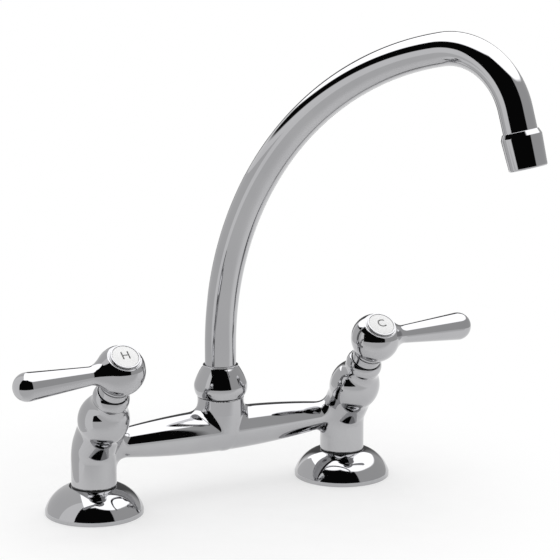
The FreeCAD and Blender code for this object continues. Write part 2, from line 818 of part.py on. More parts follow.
def circlip(side, place):
    body = new_body(f"{side}_stem_circlip", place)
    inner = "stem_r - circlip_groove_depth + running_clearance"
    steps = ring_steps(inner, "circlip_diameter / 2", "circlip_bottom", "circlip_top")
    revolve(body, "clip", steps, angle="360 - circlip_opening")


def cartridge_parts(side, turning):
    fixed = valve_place(side)
    seal_r = "chamber_diameter / 2 - assembly_gap"
    seal_bore = "seat_seal_bore / 2"
    turned_ring(f"{side}_seat_seal", fixed, seal_bore, seal_r, "chamber_floor_reach", "disc_bottom")
    cartridge_body(side)
    ceramic_disc(f"{side}_fixed_disc", fixed, "disc_r", "disc_bottom", "disc_port_offset", "0")
    joint = "disc_joint + running_clearance"
    ceramic_disc(f"{side}_moving_disc", turning, "disc_r - running_clearance", joint, "0", "disc_port_offset")
    cartridge_stem(side, turning)
    o_rings(f"{side}_stem_o_rings", turning, "stem_ring_r", "stem_ring_section", STEM_RING_HEIGHTS)
    circlip(side, turning)


# Lever with its screw and index --------------------------------------------------------------------


def lever_ball(body):
    """The ball with its flat top and the ringed skirt that turns inside the housing mouth."""
    steps = [
        ("0", "skirt_bottom"),
        ("skirt_r", "skirt_bottom"),
        ("skirt_r", "lower_ring_bottom"),
        ("skirt_ring_r", "lower_ring_bottom"),
        ("skirt_ring_r", "lower_ring_top"),
        ("skirt_r", "lower_ring_top"),
        ("skirt_r", "upper_ring_bottom"),
        ("skirt_ring_r", "upper_ring_bottom"),
        ("skirt_ring_r", "skirt_root"),
        ("ball_flat_diameter / 2", "flat_reach", "ball_r", 1),
        ("0", "flat_reach"),
    ]
    revolve(body, "ball", steps)


def lever_arm(body):
    """The round arm, slim at its neck and flaring to a rounded end, filleted into the ball."""
    level = "placement(vector(0; ball_reach; 0); rotation(vector(0; 0; 1); 0))"
    steps = [
        ("0", "0"),
        ("lever_end_reach + lever_end_r", "0"),
        ("lever_end_reach", "lever_end_r", "lever_end_r", 1),
        ("lever_neck_reach", "lever_neck_r"),
        ("0", "lever_neck_r"),
    ]
    revolve(body, "arm", steps, offset=level, axis="H_Axis")
    root = value("sqrt(ball_r^2 - lever_neck_r^2)")
    centre = value("ball_reach")
    radius = value("lever_neck_r")
    tolerance = value("assembly_gap")

    def at_neck(point):
        around = math.hypot(point.y, point.z - centre)
        return abs(point.x - root) < tolerance and abs(around - radius) < tolerance

    add_fillet(body, "neck_blend", "lever_fillet_radius", at_neck)


def lever_bores(body):
    """Skirt cavity, spline socket, screw hole, counterbore and the pocket for the index."""
    steps = [
        ("0", "skirt_bottom - hidden_gap"),
        ("skirt_r - skirt_wall", "skirt_bottom - hidden_gap"),
        ("skirt_r - skirt_wall", "spline_bottom"),
        ("stem_r + assembly_gap", "spline_bottom"),
        ("stem_r + assembly_gap", "socket_top"),
        ("screw_r + assembly_gap", "socket_top"),
        ("screw_r + assembly_gap", "screw_seat"),
        ("screw_head_diameter / 2 + hidden_gap", "screw_seat"),
        ("screw_head_diameter / 2 + hidden_gap", "pocket_floor"),
        ("ring_r + assembly_gap", "pocket_floor"),
        ("ring_r + assembly_gap", "flat_reach + hidden_gap"),
        ("0", "flat_reach + hidden_gap"),
    ]
    revolve(body, "bores", steps, cut=True)


def handle_screw(side, place):
    head = "screw_head_diameter / 2"
    steps = [
        ("0", "screw_tip"),
        ("screw_r", "screw_tip"),
        ("screw_r", "screw_seat"),
        (head, "screw_seat"),
        (head, "screw_seat + screw_head_height"),
        ("0", "screw_seat + screw_head_height"),
    ]
    body = new_body(f"{side}_handle_screw", place)
    revolve(body, "screw", steps)
    level = "placement(vector(0; 0; screw_seat + screw_head_height); rotation(vector(0; 0; 1); 0))"
    key = new_sketch(body, "key_outline", "XY_Plane", level)
    draw_hexagon(key, "screw_socket_flats")
    add_feature(body, "Pocket", "key_socket", key, Length="screw_socket_depth")


def index_button(side, place):
    """The domed ceramic button inside the index ring."""
    rim = "pocket_floor + index_button_height"
    rise = "index_button_crown_radius - sqrt(index_button_crown_radius^2 - button_r^2)"
    steps = [
        ("0", "pocket_floor"),
        ("button_r", "pocket_floor"),
        ("button_r", rim),
        ("0", f"{rim} + {rise}", "index_button_crown_radius", 1),
    ]
    body = new_body(f"{side}_index_button", place)
    revolve(body, "button", steps)


def index_ring(side, place):
    """The bezel round the button, with a thin flange that rests on the ball's flat."""
    bore = "ring_r - index_ring_wall"
    flange = "index_flange_diameter / 2"
    steps = [
        (bore, "pocket_floor"),
        ("ring_r", "pocket_floor"),
        ("ring_r", "flat_reach"),
        (flange, "flat_reach"),
        (flange, "flat_reach + index_flange_height"),
        ("ring_r", "flat_reach + index_flange_height"),
        ("ring_r", "pocket_floor + index_ring_height"),
        (bore, "pocket_floor + index_ring_height"),
    ]
    body = new_body(f"{side}_index_ring", place)
    revolve(body, "bezel", steps)


def lever_parts(side, turning):
    body = new_body(f"{side}_lever", turning)
    lever_ball(body)
    lever_arm(body)
    lever_bores(body)
    handle_screw(side, turning)
    index_ring(side, turning)
    index_button(side, turning)


# Spout ---------------------------------------------------------------------------------------------


def spout_tube():
    """The high arched tube: a riser, a long sweep, a tighter crown and a straight drop to the outlet."""
    body = new_body("spout_tube", SPOUT_PLACE)
    path = new_sketch(body, "centre_line", "XZ_Plane")
    steps = [
        ("0", "tube_bottom"),
        ("0", "spout_riser_top"),
        ("sweep_end_x", "sweep_end_z", "spout_sweep_radius", -1),
        ("crown_end_x", "crown_end_z", "spout_crown_radius", -1),
        ("outlet_x", "outlet_z"),
    ]
    draw_outline(path, steps, closed=False)
    level = "placement(vector(0; 0; tube_bottom); rotation(vector(0; 0; 1); 0))"
    section = new_sketch(body, "section", "XY_Plane", level)
    draw_circle(section, "tube_r")
    draw_circle(section, "tube_bore_r")
    add_feature(body, "AdditivePipe", "tube", section, Spine=(path, []))


SHANK_RING_HEIGHTS = [
    "shank_bottom + shank_ring_inset",
    "shank_bottom + shank_ring_inset + shank_ring_spacing",
]


def spout_shank():
    """The turned foot of the spout: it turns in the hub, sealed by O-rings, and plugs into the tube."""
    bore = "shank_bore_diameter / 2"
    plug = "tube_bore_r - assembly_gap"
    steps = [
        (bore, "shank_bottom"),
        ("shank_r", "shank_bottom"),
        ("shank_r", "shank_flange_bottom"),
        ("shank_flange_diameter / 2", "shank_flange_bottom"),
        ("shank_flange_diameter / 2", "tube_bottom"),
        (plug, "tube_bottom"),
        (plug, "tube_bottom + shank_plug_length"),
        (bore, "tube_bottom + shank_plug_length"),
    ]
    body = new_body("spout_shank", SPOUT_PLACE)
    revolve(body, "shank", steps)
    for height in SHANK_RING_HEIGHTS:
        revolve(body, "ring_groove", groove_steps("shank_ring_r", height, "shank_ring_section"), cut=True)


def spout_union():
    """The lantern-shaped union nut: threaded over the hub spigot, its top lip holding the spout down."""
    thread = "hub_spigot_diameter / 2 + assembly_gap"
    lip = "tube_r + union_tube_clearance"
    steps = [
        (thread, "union_bottom"),
        ("union_base_diameter / 2", "union_bottom"),
        ("union_shoulder_diameter / 2", "hub_height + union_shoulder_height", "union_shoulder_radius", 1),
        ("union_top_diameter / 2", "union_top - union_rim_height", "union_flank_radius", 1),
        ("union_top_diameter / 2", "union_top"),
        (lip, "union_top"),
        (lip, "union_shoulder_floor"),
        (thread, "union_shoulder_floor"),
    ]
    body = new_body("spout_union")
    revolve(body, "union", steps)


def spout_parts():
    spout_tube()
    spout_shank()
    o_rings("spout_o_rings", SPOUT_PLACE, "shank_ring_r", "shank_ring_section", SHANK_RING_HEIGHTS)
    still = "placement(vector(0; 0; 0); rotation(vector(0; 0; 1); 0))"
    washer_bore = "socket_r + assembly_gap"
    rim = "hub_spigot_diameter / 2"
    turned_ring("spout_base_washer", still, washer_bore, rim, "hub_spigot_top", "shank_flange_bottom")
    glide_bore = "tube_r + union_tube_clearance"
    glide_bottom = "tube_bottom + running_clearance"
    turned_ring("spout_glide_ring", still, glide_bore, rim, glide_bottom, "union_shoulder_floor")
    spout_union()


# Outlet and aerator, with heights measured from the tube's end along the outlet --------------------


def outlet_nipple():
    bore = "nipple_bore_diameter / 2"
    plug = "tube_bore_r - assembly_gap"
    steps = [
        (bore, "-nipple_plug_length"),
        (plug, "-nipple_plug_length"),
        (plug, "0"),
        ("nipple_r", "0"),
        ("nipple_r", "nipple_thread_length"),
        (bore, "nipple_thread_length"),
    ]
    body = new_body("outlet_nipple", OUTLET_PLACE)
    revolve(body, "nipple", steps)


def aerator_housing():
    """The round outlet housing with a coned shoulder over the tube's end and a lip that holds the insert."""
    opening = "tube_r + assembly_gap"
    outlet = "aerator_outlet_diameter / 2"
    lip = "aerator_lip_diameter / 2"
    steps = [
        (opening, "-aerator_cone_height"),
        ("aerator_cone_diameter / 2", "-aerator_cone_height"),
        ("aerator_diameter / 2", "0"),
        (outlet, "aerator_length - aerator_chamfer"),
        (f"{outlet} - aerator_chamfer", "aerator_length"),
        (lip, "aerator_length"),
        (lip, "screen_bottom"),
        ("aerator_bore_r", "screen_bottom"),
        ("aerator_bore_r", "0"),
        (opening, "0"),
    ]
    body = new_body("aerator_housing", OUTLET_PLACE)
    revolve(body, "housing", steps)


def aerator_insert():
    """The plastic flow insert: a cup with a ring of holes through its top plate."""
    wall = "nipple_r - insert_rim_width"
    plate = "insert_top + insert_plate_thickness"
    steps = [
        ("0", "insert_top"),
        ("nipple_r", "insert_top"),
        ("nipple_r", "screen_top"),
        (wall, "screen_top"),
        (wall, plate),
        ("0", plate),
    ]
    body = new_body("aerator_insert", OUTLET_PLACE)
    revolve(body, "cup", steps)
    level = "placement(vector(0; 0; insert_top); rotation(vector(0; 0; 1); 0))"
    hole = new_sketch(body, "hole_outline", "XY_Plane", level)
    draw_circle(hole, "insert_hole_diameter / 2", x="insert_hole_circle / 2")
    drilled = add_feature(body, "Pocket", "hole", hole, Length="insert_plate_thickness", Reversed=True)
    ring = body.newObject("PartDesign::PolarPattern", "hole_ring")
    ring.Originals = [drilled]
    ring.Axis = (hole, ["N_Axis"])
    ring.setExpression("Occurrences", formula("insert_hole_count"))
    body.Tip = ring


def aerator_screen():
    """The outlet screen, a thin disc with a square field of round holes."""
    body = turned_ring("aerator_screen", OUTLET_PLACE, "0", "nipple_r", "screen_top", "screen_bottom")
    holes = new_sketch(body, "screen_outline", "XY_Plane")
    rows = int(value("screen_hole_rows"))
    places = [f"({number} - (screen_hole_rows - 1) / 2) * screen_hole_pitch" for number in range(rows)]
    for x in places:
        for y in places:
            draw_circle(holes, "screen_hole_diameter / 2", x, y)
    cut_through(body, "screen_holes", holes)


def outlet_parts():
    outlet_nipple()
    aerator_housing()
    washer_bore = "nipple_r - aerator_washer_width"
    turned_ring("aerator_washer", OUTLET_PLACE, washer_bore, "nipple_r", "nipple_thread_length", "insert_top")
    aerator_insert()
    aerator_screen()


# Build, check and write ----------------------------------------------------------------------------


def check_and_write():
    """Stop on any failed object or bad shape, then write one STEP file for each sub-part."""
    DOC.recompute()
    for item in DOC.Objects:
        if "Invalid" in item.State or "Error" in item.State:
            raise RuntimeError(f"{item.Name} failed: {item.getStatusString()}")
    for item in SUB_PARTS:
        if item.Shape.isNull() or not item.Shape.isValid() or not item.Shape.Solids:
            raise RuntimeError(f"{item.Label} has no valid solid")
    os.makedirs("parts", exist_ok=True)
    for item in SUB_PARTS:
        item.Shape.exportStep(f"parts/{item.Label}.step")
        print(f"{item.Label}: {len(item.Shape.Solids)} solid, {item.Shape.Volume:.1f} mm3")


def main():
    fill_sheet()
    bridge_body()
    for side in SIDES:
        turning = valve_place(side, f"{side}_lever_angle")
        foot_parts(side)
        cartridge_parts(side, turning)
        lever_parts(side, turning)
    spout_parts()
    outlet_parts()
    check_and_write()


main()
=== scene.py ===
"""Bridge kitchen faucet in polished chrome, with porcelain index buttons, in a small white studio.

Shapes are worked out in millimetres in the frame of the solids and written to Blender in metres.
Outlines of turned pieces are lists of (radius, height) steps; a step with a radius and a side is an arc.
"""

import math

import bpy
import numpy as np
from mathutils import Matrix, Vector


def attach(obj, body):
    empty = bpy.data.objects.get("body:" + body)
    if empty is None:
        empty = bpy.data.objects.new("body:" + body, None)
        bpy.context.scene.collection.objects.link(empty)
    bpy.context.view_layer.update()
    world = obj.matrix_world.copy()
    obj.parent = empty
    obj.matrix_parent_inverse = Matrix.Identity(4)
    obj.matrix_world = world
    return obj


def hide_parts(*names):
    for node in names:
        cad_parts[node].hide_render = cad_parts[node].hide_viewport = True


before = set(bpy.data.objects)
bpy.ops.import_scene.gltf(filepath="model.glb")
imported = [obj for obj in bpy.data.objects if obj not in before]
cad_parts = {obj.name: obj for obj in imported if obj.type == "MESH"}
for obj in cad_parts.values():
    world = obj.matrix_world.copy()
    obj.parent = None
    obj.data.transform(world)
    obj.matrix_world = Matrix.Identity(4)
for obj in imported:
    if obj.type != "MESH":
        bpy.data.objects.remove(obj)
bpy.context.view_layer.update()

MM = 0.001

# ------------------------------------------------------------------ sizes in mm, as in the solids

# a bore that goes on out of sight is drawn only as far as its DRAWN_TO

SPACING = 200.0
ELBOW_HEIGHT = 46.5
TILT = math.radians(35.5)
SIDES = {"hot": -1, "cold": 1}
SPOUT_HEADING = math.radians(-65.0)
# where the levers rest, in degrees about their valve axes
LEVER_TURN = {"hot": 183.0, "cold": 1.0}

# bridge arms and hub
ARM_HEIGHT = 47.8
ARM_RADIUS = 15.6
ARM_BOW = 582.0
HUB_RADIUS = 16.75
HUB_ROOT = 16.5
HUB_ROOT_HEIGHT = 48.3
HUB_SHOULDER = 61.8
HUB_TOP = 72.7
HUB_EDGE = 0.5
HUB_FILLET = 7.0
PILLAR_FILLET = 9.0
SPIGOT_RADIUS = 13.5
SPIGOT_TOP = 83.2
SPIGOT_OVERLAP = 1.0
SOCKET_RADIUS = 10.1
SOCKET_DRAWN_TO = 70.0
BRIDGE_GRID = (-120, -40, 18), (120, 19, 91)
BRIDGE_STEP = 0.75

# pillars with their feet
COLUMN_RADIUS = 16.1
COLUMN_FOOT = 20.4
COLUMN_EDGE = 0.6
BEND_RADIUS = 24.0
FOOT_RADIUS = 13.0
FOOT_BOTTOM = 4.4
FOOT_INSET = 0.05
FOOT_OVERLAP = 2.0
INLET_RADIUS = 9.32
INLET_TOP = 19.4
WATERWAY_RADIUS = 4.0
WATERWAY_DRAWN_TO = 30.0

# valve housings, along and around the valve axes
HOUSING_RADIUS = 18.2
HOUSING_REACH = 32.0
HOUSING_BULGE = 22.0
HOUSING_BLEND = 20.0
WAIST_RADIUS = 12.4
WAIST_BEND = 9.5
BEAD_RADIUS = 13.05
BEAD_BEND = 8.3
MOUTH_RISE = 5.22
MOUTH_BORE = 10.9
MOUTH_FLOOR = 54.0
MOUTH_FLOOR_BORE = 6.0
SEAM_REACH = 34.0
SEAM_STEP = 0.05
SEAM_TUCK = 0.4
SEAM_OVERLAP = 5.0
# above the seam the casting sinks under the turned housing
SINK_START = 0.1
SINK_RUN = 3
SINK_SLOPE = 0.2

# deck flanges
FLANGE_BORE = 13.1
FLANGE_CROWN = 17.8
FLANGE_RADIUS = 34.9
FLANGE_RIM = 3.0
FLANGE_TOP = 19.8
FLANGE_DOME = 26.0
FLANGE_WALL = 2.4
FLANGE_LIP = 1.8
FLANGE_LEDGE = 5.8
GASKET_HEIGHT = 1.6

# levers, along and around the valve axes
BALL_REACH = 83.0
BALL_RADIUS = 17.5
BALL_FLAT = 96.01
BALL_EDGE = 0.5
SKIRT_BOTTOM = 57.95
SKIRT_ROOT = 69.55
SKIRT_RADIUS = 10.4
SKIRT_BORE = 8.4
SKIRT_BORE_DRAWN_TO = 74.0
RING_RADIUS = 11.2
RING_HEIGHT = 1.3
RING_GAP = 1.0
RING_OVERLAP = 0.3
NECK_RADIUS = 6.55
NECK_REACH = 24.0
END_RADIUS = 10.0
END_REACH = 69.5
LEVER_FILLET = 7.0
LEVER_GRID = (-18.5, -18.5, 64), (81, 18.5, 98)
LEVER_STEP = 0.6
BUTTON_RADIUS = 9.3
BUTTON_FOOT = 94.0
BUTTON_EDGE = 97.8
BUTTON_TOP = 98.53
BUTTON_CROWN = 60.0
BEZEL_BORE = 9.4
BEZEL_RADIUS = 11.3
BEZEL_SHOULDER = 96.6
BEZEL_LIP = 10.5
BEZEL_TOP = 98.0
LETTER_SIZE = 9.5
LETTER_DEPTH = 0.04
LETTER_SUNK = 0.03

# spout with its union and outlet
TUBE_RADIUS = 11.25
TUBE_BORE = 10.05
TUBE_BOTTOM = 87.2
RISER_TOP = 109.0
SWEEP_RADIUS = 232.0
SWEEP_TURN = math.radians(78.5)
CROWN_RADIUS = 49.0
CROWN_TURN = math.radians(85.5)
OUTLET_STRAIGHT = 18.0
UNION_BORE = 13.6
UNION_COLLAR = 88.2
UNION_COLLAR_GAP = 0.06
UNION_FOOT = 16.95
UNION_BOTTOM = 73.1
UNION_RADIUS = 18.95
UNION_BELLY = 82.7
UNION_LOWER_BEND = 12.0
UNION_UPPER_BEND = 45.0
UNION_NECK = 12.75
UNION_NECK_START = 95.0
UNION_TOP = 96.0
UNION_TUBE_BORE = 11.5
OUTLET_RADIUS = 13.5
OUTLET_LENGTH = 21.0
OUTLET_BORE = 11.35
OUTLET_SEAT = 11.1
OUTLET_SLEEVE = 12.0
OUTLET_SLEEVE_LENGTH = 3.5
OUTLET_FRONT = 12.65
OUTLET_BEVEL = 0.8
OUTLET_LIP = 9.3
OUTLET_LIP_LENGTH = 1.6

# ------------------------------------------------------------------ placements


def turn_about(axis, angle):
    """A rotation about one of the frame's axes."""
    return np.array(Matrix.Rotation(angle, 3, axis))


def pillar_place(side):
    """Upright on the deck, on a pillar's axis."""
    return np.eye(3), np.array([SIDES[side] * SPACING / 2, 0, 0])


def valve_place(side, turn=0.0):
    """On a valve's leaning axis, turned about it by an angle in degrees."""
    rotation = turn_about("X", TILT) @ turn_about("Z", math.radians(turn))
    return rotation, np.array([SIDES[side] * SPACING / 2, 0, ELBOW_HEIGHT])


def placed(part, place):
    """A part moved by a rotation and a shift."""
    vertices, faces, normals = part
    rotation, shift = place
    return vertices @ rotation.T + shift, faces, normals @ rotation.T


# ------------------------------------------------------------------ turned and swept meshes

# a corner is eased when its sides' cosine is below this, over at most this share of each side
SHARP_COSINE = 0.97
CURVE_SHARE = 0.48


def arc(start, end, radius, side, steps=24):
    """Points after start on the short arc to end; side 1 turns left, -1 turns right."""
    start, end = np.array(start, float), np.array(end, float)
    chord = end - start
    length = np.hypot(*chord)
    rise = math.sqrt(max(radius**2 - (length / 2) ** 2, 0.0))
    normal = np.array([-chord[1], chord[0]]) / length
    centre = (start + end) / 2 + normal * rise * side
    first = math.atan2(start[1] - centre[1], start[0] - centre[0])
    last = math.atan2(end[1] - centre[1], end[0] - centre[0])
    if side > 0 and last < first:
        last += 2 * math.pi
    if side < 0 and last > first:
        last -= 2 * math.pi
    angles = np.linspace(first, last, steps + 1)[1:]
    return centre + radius * np.stack([np.cos(angles), np.sin(angles)], 1)


def profile(steps, edge=0.35):
    """A turned outline from (r, z) or (r, z, radius, side) steps, with its sharp corners eased."""
    points = [np.array(steps[0][:2], float)]
    for step in steps[1:]:
        if len(step) == 2:
            points.append(np.array(step, float))
        else:
            points.extend(arc(points[-1], step[:2], step[2], step[3]))
    return ease_corners(np.array(points), edge)


def ease_corners(points, edge, steps=7):
    """Replace corners sharper than about 14 degrees by short curves of the given size.

    A corner's curve takes less than half of the way to the next corner, however short that is.
    """
    lengths = np.r_[0, np.cumsum(np.hypot(*np.diff(points, axis=0).T))]
    sharp = [False]
    for index in range(1, len(points) - 1):
        before = points[index] - points[index - 1]
        after = points[index + 1] - points[index]
        sharp.append(before @ after < SHARP_COSINE * np.hypot(*before) * np.hypot(*after))
    sharp.append(False)
    corners = np.flatnonzero(sharp)
    stops = np.r_[0, lengths[corners], lengths[-1]]
    spans = np.diff(stops) * CURVE_SHARE
    rooms = [min(edge, before, after) for before, after in zip(spans[:-1], spans[1:])]

    def along(distance):
        """The outline's point at a distance along it."""
        return np.array([np.interp(distance, lengths, points[:, axis]) for axis in (0, 1)])

    eased = []
    for index, point in enumerate(points):
        if not sharp[index]:
            near = [abs(lengths[index] - lengths[corner]) < room for corner, room in zip(corners, rooms)]
            if not any(near):
                eased.append(point)
            continue
        room = rooms[list(corners).index(index)]
        start, end = along(lengths[index] - room), along(lengths[index] + room)
        for share in np.linspace(0, 1, steps):
            eased.append(start * (1 - share) ** 2 + point * 2 * share * (1 - share) + end * share**2)
    return np.array(eased)


def lathe(outline, segments=180):
    """Turn an (r, z) outline, its solid on the left, about the z axis."""
    steps = np.diff(outline, axis=0)
    slopes = np.stack([steps[:, 1], -steps[:, 0]], 1)
    weights = np.concatenate([slopes[:1], slopes[:-1] + slopes[1:], slopes[-1:]])
    weights /= np.maximum(np.hypot(*weights.T), 1e-9)[:, None]
    angles = np.linspace(0, 2 * math.pi, segments, endpoint=False)

    def spin(pairs):
        """Each (r, z) pair as a ring of points about the axis."""
        ring = np.empty((len(pairs), segments, 3))
        ring[..., 0] = pairs[:, 0, None] * np.cos(angles)
        ring[..., 1] = pairs[:, 0, None] * np.sin(angles)
        ring[..., 2] = pairs[:, 1, None]
        return ring.reshape(-1, 3)

    return spin(outline), ring_faces(len(outline), segments), spin(weights)


def ring_faces(rings, segments):
    """Quads between neighbouring rings."""
    row, column = np.meshgrid(np.arange(rings - 1), np.arange(segments), indexing="ij")
    beside = (column + 1) % segments
    lower, upper = row * segments, (row + 1) * segments
    return np.stack([lower + column, lower + beside, upper + beside, upper + column], -1).reshape(-1, 4)


def spout_path(steps):
    """Points, directions and in-plane normals along the spout's centre line."""
    heading = np.array([math.cos(SPOUT_HEADING), math.sin(SPOUT_HEADING), 0])
    up = np.array([0, 0, 1.0])
    rows = [(0, z, 0) for z in np.linspace(TUBE_BOTTOM, RISER_TOP, 8)[:-1]]
    for turn in np.linspace(0, SWEEP_TURN, steps):
        rows.append((SWEEP_RADIUS * (1 - math.cos(turn)), RISER_TOP + SWEEP_RADIUS * math.sin(turn), turn))
    start = rows[-1]
    for turn in np.linspace(SWEEP_TURN, SWEEP_TURN + CROWN_TURN, steps)[1:]:
        across = CROWN_RADIUS * (math.cos(SWEEP_TURN) - math.cos(turn))
        rise = CROWN_RADIUS * (math.sin(turn) - math.sin(SWEEP_TURN))
        rows.append((start[0] + across, start[1] + rise, turn))
    end = rows[-1]
    for reach in np.linspace(0, OUTLET_STRAIGHT, 5)[1:]:
        rows.append((end[0] + reach * math.sin(end[2]), end[1] + reach * math.cos(end[2]), end[2]))
    across, height, turn = np.array(rows).T
    points = across[:, None] * heading + height[:, None] * up
    directions = np.sin(turn)[:, None] * heading + np.cos(turn)[:, None] * up
    normals = np.cos(turn)[:, None] * heading - np.sin(turn)[:, None] * up
    return points, directions, normals


def swept_tube(radius, steps=120, segments=96, inward=False):
    """The spout tube's wall, round its centre line."""
    points, directions, normals = spout_path(steps)
    sideways = np.cross(directions, normals)
    angles = np.linspace(0, 2 * math.pi, segments, endpoint=False)
    outward = np.cos(angles)[:, None] * normals[:, None] + np.sin(angles)[:, None] * sideways[:, None]
    vertices = points[:, None] + radius * outward
    faces = ring_faces(len(points), segments)
    sign = -1 if inward else 1
    return vertices.reshape(-1, 3), faces[:, ::sign], sign * outward.reshape(-1, 3)


def outlet_place():
    """The tube's end, its z axis along the water's way."""
    points, directions, normals = spout_path(12)
    rotation = np.stack([normals[-1], np.cross(directions[-1], normals[-1]), directions[-1]], 1)
    return rotation, points[-1]


# ------------------------------------------------------------------ distance fields for the castings


def round_union(first, second, radius):
    """Join two distance fields with a fillet."""
    corner = np.hypot(np.maximum(radius - first, 0), np.maximum(radius - second, 0))
    return np.maximum(radius, np.minimum(first, second)) - corner


def round_cut(first, second, radius):
    """Keep what both distance fields hold, with the edge between them rounded."""
    return -round_union(-first, -second, radius)


def soft_union(first, second, width):
    """Join two forms that meet almost flush."""
    share = np.clip(0.5 + 0.5 * (second - first) / width, 0, 1)
    return second + (first - second) * share - width * share * (1 - share)


def bent_axis(points, side):
    """Distance and direction from a pillar's bent centre line, and the reach along its tilted part."""
    across = points[..., 0] - SIDES[side] * SPACING / 2
    y, z = points[..., 1], points[..., 2]
    tangent = BEND_RADIUS * math.tan(TILT / 2)
    bend_z = ELBOW_HEIGHT - tangent
    angle = np.clip(np.arctan2(z - bend_z, y + BEND_RADIUS), 0, TILT)
    reach = (z - ELBOW_HEIGHT) * math.cos(TILT) - y * math.sin(TILT)
    below, beyond = z < bend_z, (reach > tangent) & (z > bend_z)
    near_y = np.where(below, 0, BEND_RADIUS * np.cos(angle) - BEND_RADIUS)
    near_z = np.where(below, z, bend_z + BEND_RADIUS * np.sin(angle))
    near_y = np.where(beyond, -reach * math.sin(TILT), near_y)
    near_z = np.where(beyond, ELBOW_HEIGHT + reach * math.cos(TILT), near_z)
    away = np.stack([across, y - near_y, z - near_z], -1)
    length = np.linalg.norm(away, axis=-1)
    return length, away / np.maximum(length, 1e-6)[..., None], reach


def arm_field(points):
    """The bowed arms and the unit direction away from their axis."""
    x, y, z = points[..., 0], points[..., 1], points[..., 2] - ARM_HEIGHT
    around = np.maximum(np.hypot(y, z), 1e-6)
    reach = np.minimum(np.abs(x), SPACING / 2)
    drop = np.sqrt(ARM_BOW**2 - reach**2)
    arms = (around - (ARM_RADIUS - ARM_BOW + drop)) * drop / ARM_BOW
    away = np.stack([np.zeros_like(x), y / around, z / around], -1)
    return np.maximum(arms, np.abs(x) - SPACING / 2), away


def filleted(first, second, first_way, second_way, radius):
    """Join two forms with a fillet that fades out where their surfaces run the same way."""
    cosine = np.clip((first_way * second_way).sum(-1), -1, 1)
    return soft_union(first, second, np.maximum(4 * radius * (1 - np.sqrt((1 + cosine) / 2)), 1e-3))


def hub_field(points):
    """The upright hub with its rounded root, and the unit direction away from it."""
    x, y, z = points[..., 0], points[..., 1], points[..., 2]
    lift = np.maximum(HUB_ROOT_HEIGHT - z, 0)
    around = np.maximum(np.sqrt(x * x + y * y + lift * lift), 1e-6)
    share = np.clip((z - HUB_ROOT_HEIGHT) / (HUB_SHOULDER - HUB_ROOT_HEIGHT), 0, 1)
    side = around - (HUB_ROOT + (HUB_RADIUS - HUB_ROOT) * share)
    return round_cut(side, z - HUB_TOP, HUB_EDGE), np.stack([x, y, -lift], -1) / around[..., None]


def arc_run(drop):
    """How far two touching arcs of joint radius 1 run along the axis while they drop by a share of it."""
    return math.sqrt(2 * drop - drop**2)


def housing_field(length, reach):
    """Distance from the column, the hollow above it and the bulge, in the plane of the pillar's axis."""
    drop = (HOUSING_RADIUS - COLUMN_RADIUS) / (HOUSING_BULGE + HOUSING_BLEND)
    start = HOUSING_REACH - (HOUSING_BULGE + HOUSING_BLEND) * arc_run(drop)
    hollow_r, bulge_r = COLUMN_RADIUS + HOUSING_BLEND, HOUSING_RADIUS - HOUSING_BULGE
    hollow = HOUSING_BLEND - np.hypot(length - hollow_r, reach - start)
    bulge = np.hypot(length - bulge_r, reach - HOUSING_REACH) - HOUSING_BULGE
    side = (length - bulge_r) * (start - HOUSING_REACH) - (reach - HOUSING_REACH) * (hollow_r - bulge_r)
    field = np.where(side > 0, hollow, bulge)
    return np.where(reach < start, length - COLUMN_RADIUS, field)


def housing_steps():
    """The outline above the bulge: waist, bead and mouth."""
    waist = (HOUSING_RADIUS - WAIST_RADIUS) / (HOUSING_BULGE + WAIST_BEND)
    waist_reach = HOUSING_REACH + (HOUSING_BULGE + WAIST_BEND) * arc_run(waist)
    bead = (BEAD_RADIUS - WAIST_RADIUS) / (WAIST_BEND + BEAD_BEND)
    bead_reach = waist_reach + (WAIST_BEND + BEAD_BEND) * arc_run(bead)
    mouth = BEAD_RADIUS - BEAD_BEND + math.sqrt(BEAD_BEND**2 - MOUTH_RISE**2)
    seam = HOUSING_RADIUS - HOUSING_BULGE + math.sqrt(HOUSING_BULGE**2 - (SEAM_REACH - HOUSING_REACH) ** 2)
    bulge_end = (HOUSING_RADIUS - HOUSING_BULGE * waist, HOUSING_REACH + HOUSING_BULGE * arc_run(waist))
    waist_end = (WAIST_RADIUS + WAIST_BEND * bead, waist_reach + WAIST_BEND * arc_run(bead))
    return [
        (seam - SEAM_STEP, SEAM_REACH - SEAM_TUCK),
        (seam, SEAM_REACH),
        (*bulge_end, HOUSING_BULGE, 1),
        (*waist_end, WAIST_BEND, -1),
        (mouth, bead_reach + MOUTH_RISE, BEAD_BEND, 1),
        (MOUTH_BORE, bead_reach + MOUTH_RISE),
        (MOUTH_BORE, MOUTH_FLOOR),
        (MOUTH_FLOOR_BORE, MOUTH_FLOOR),
    ]


def body_field(points):
    """The cast bridge: arms, hub and bent pillars up to the bulge, with fillets where they meet."""
    whole, arm_way = arm_field(points)
    hub, hub_way = hub_field(points)
    whole = filleted(whole, hub, arm_way, hub_way, HUB_FILLET)
    for side in SIDES:
        length, away, reach = bent_axis(points, side)
        sunk = np.clip(reach - SEAM_REACH + SINK_START, 0, SINK_RUN) * SINK_SLOPE
        pillar = np.maximum(housing_field(length, reach) + sunk, reach - SEAM_REACH - SEAM_OVERLAP)
        pillar = round_cut(pillar, COLUMN_FOOT - points[..., 2], COLUMN_EDGE)
        whole = filleted(whole, pillar, arm_way, away, PILLAR_FILLET)
    return whole


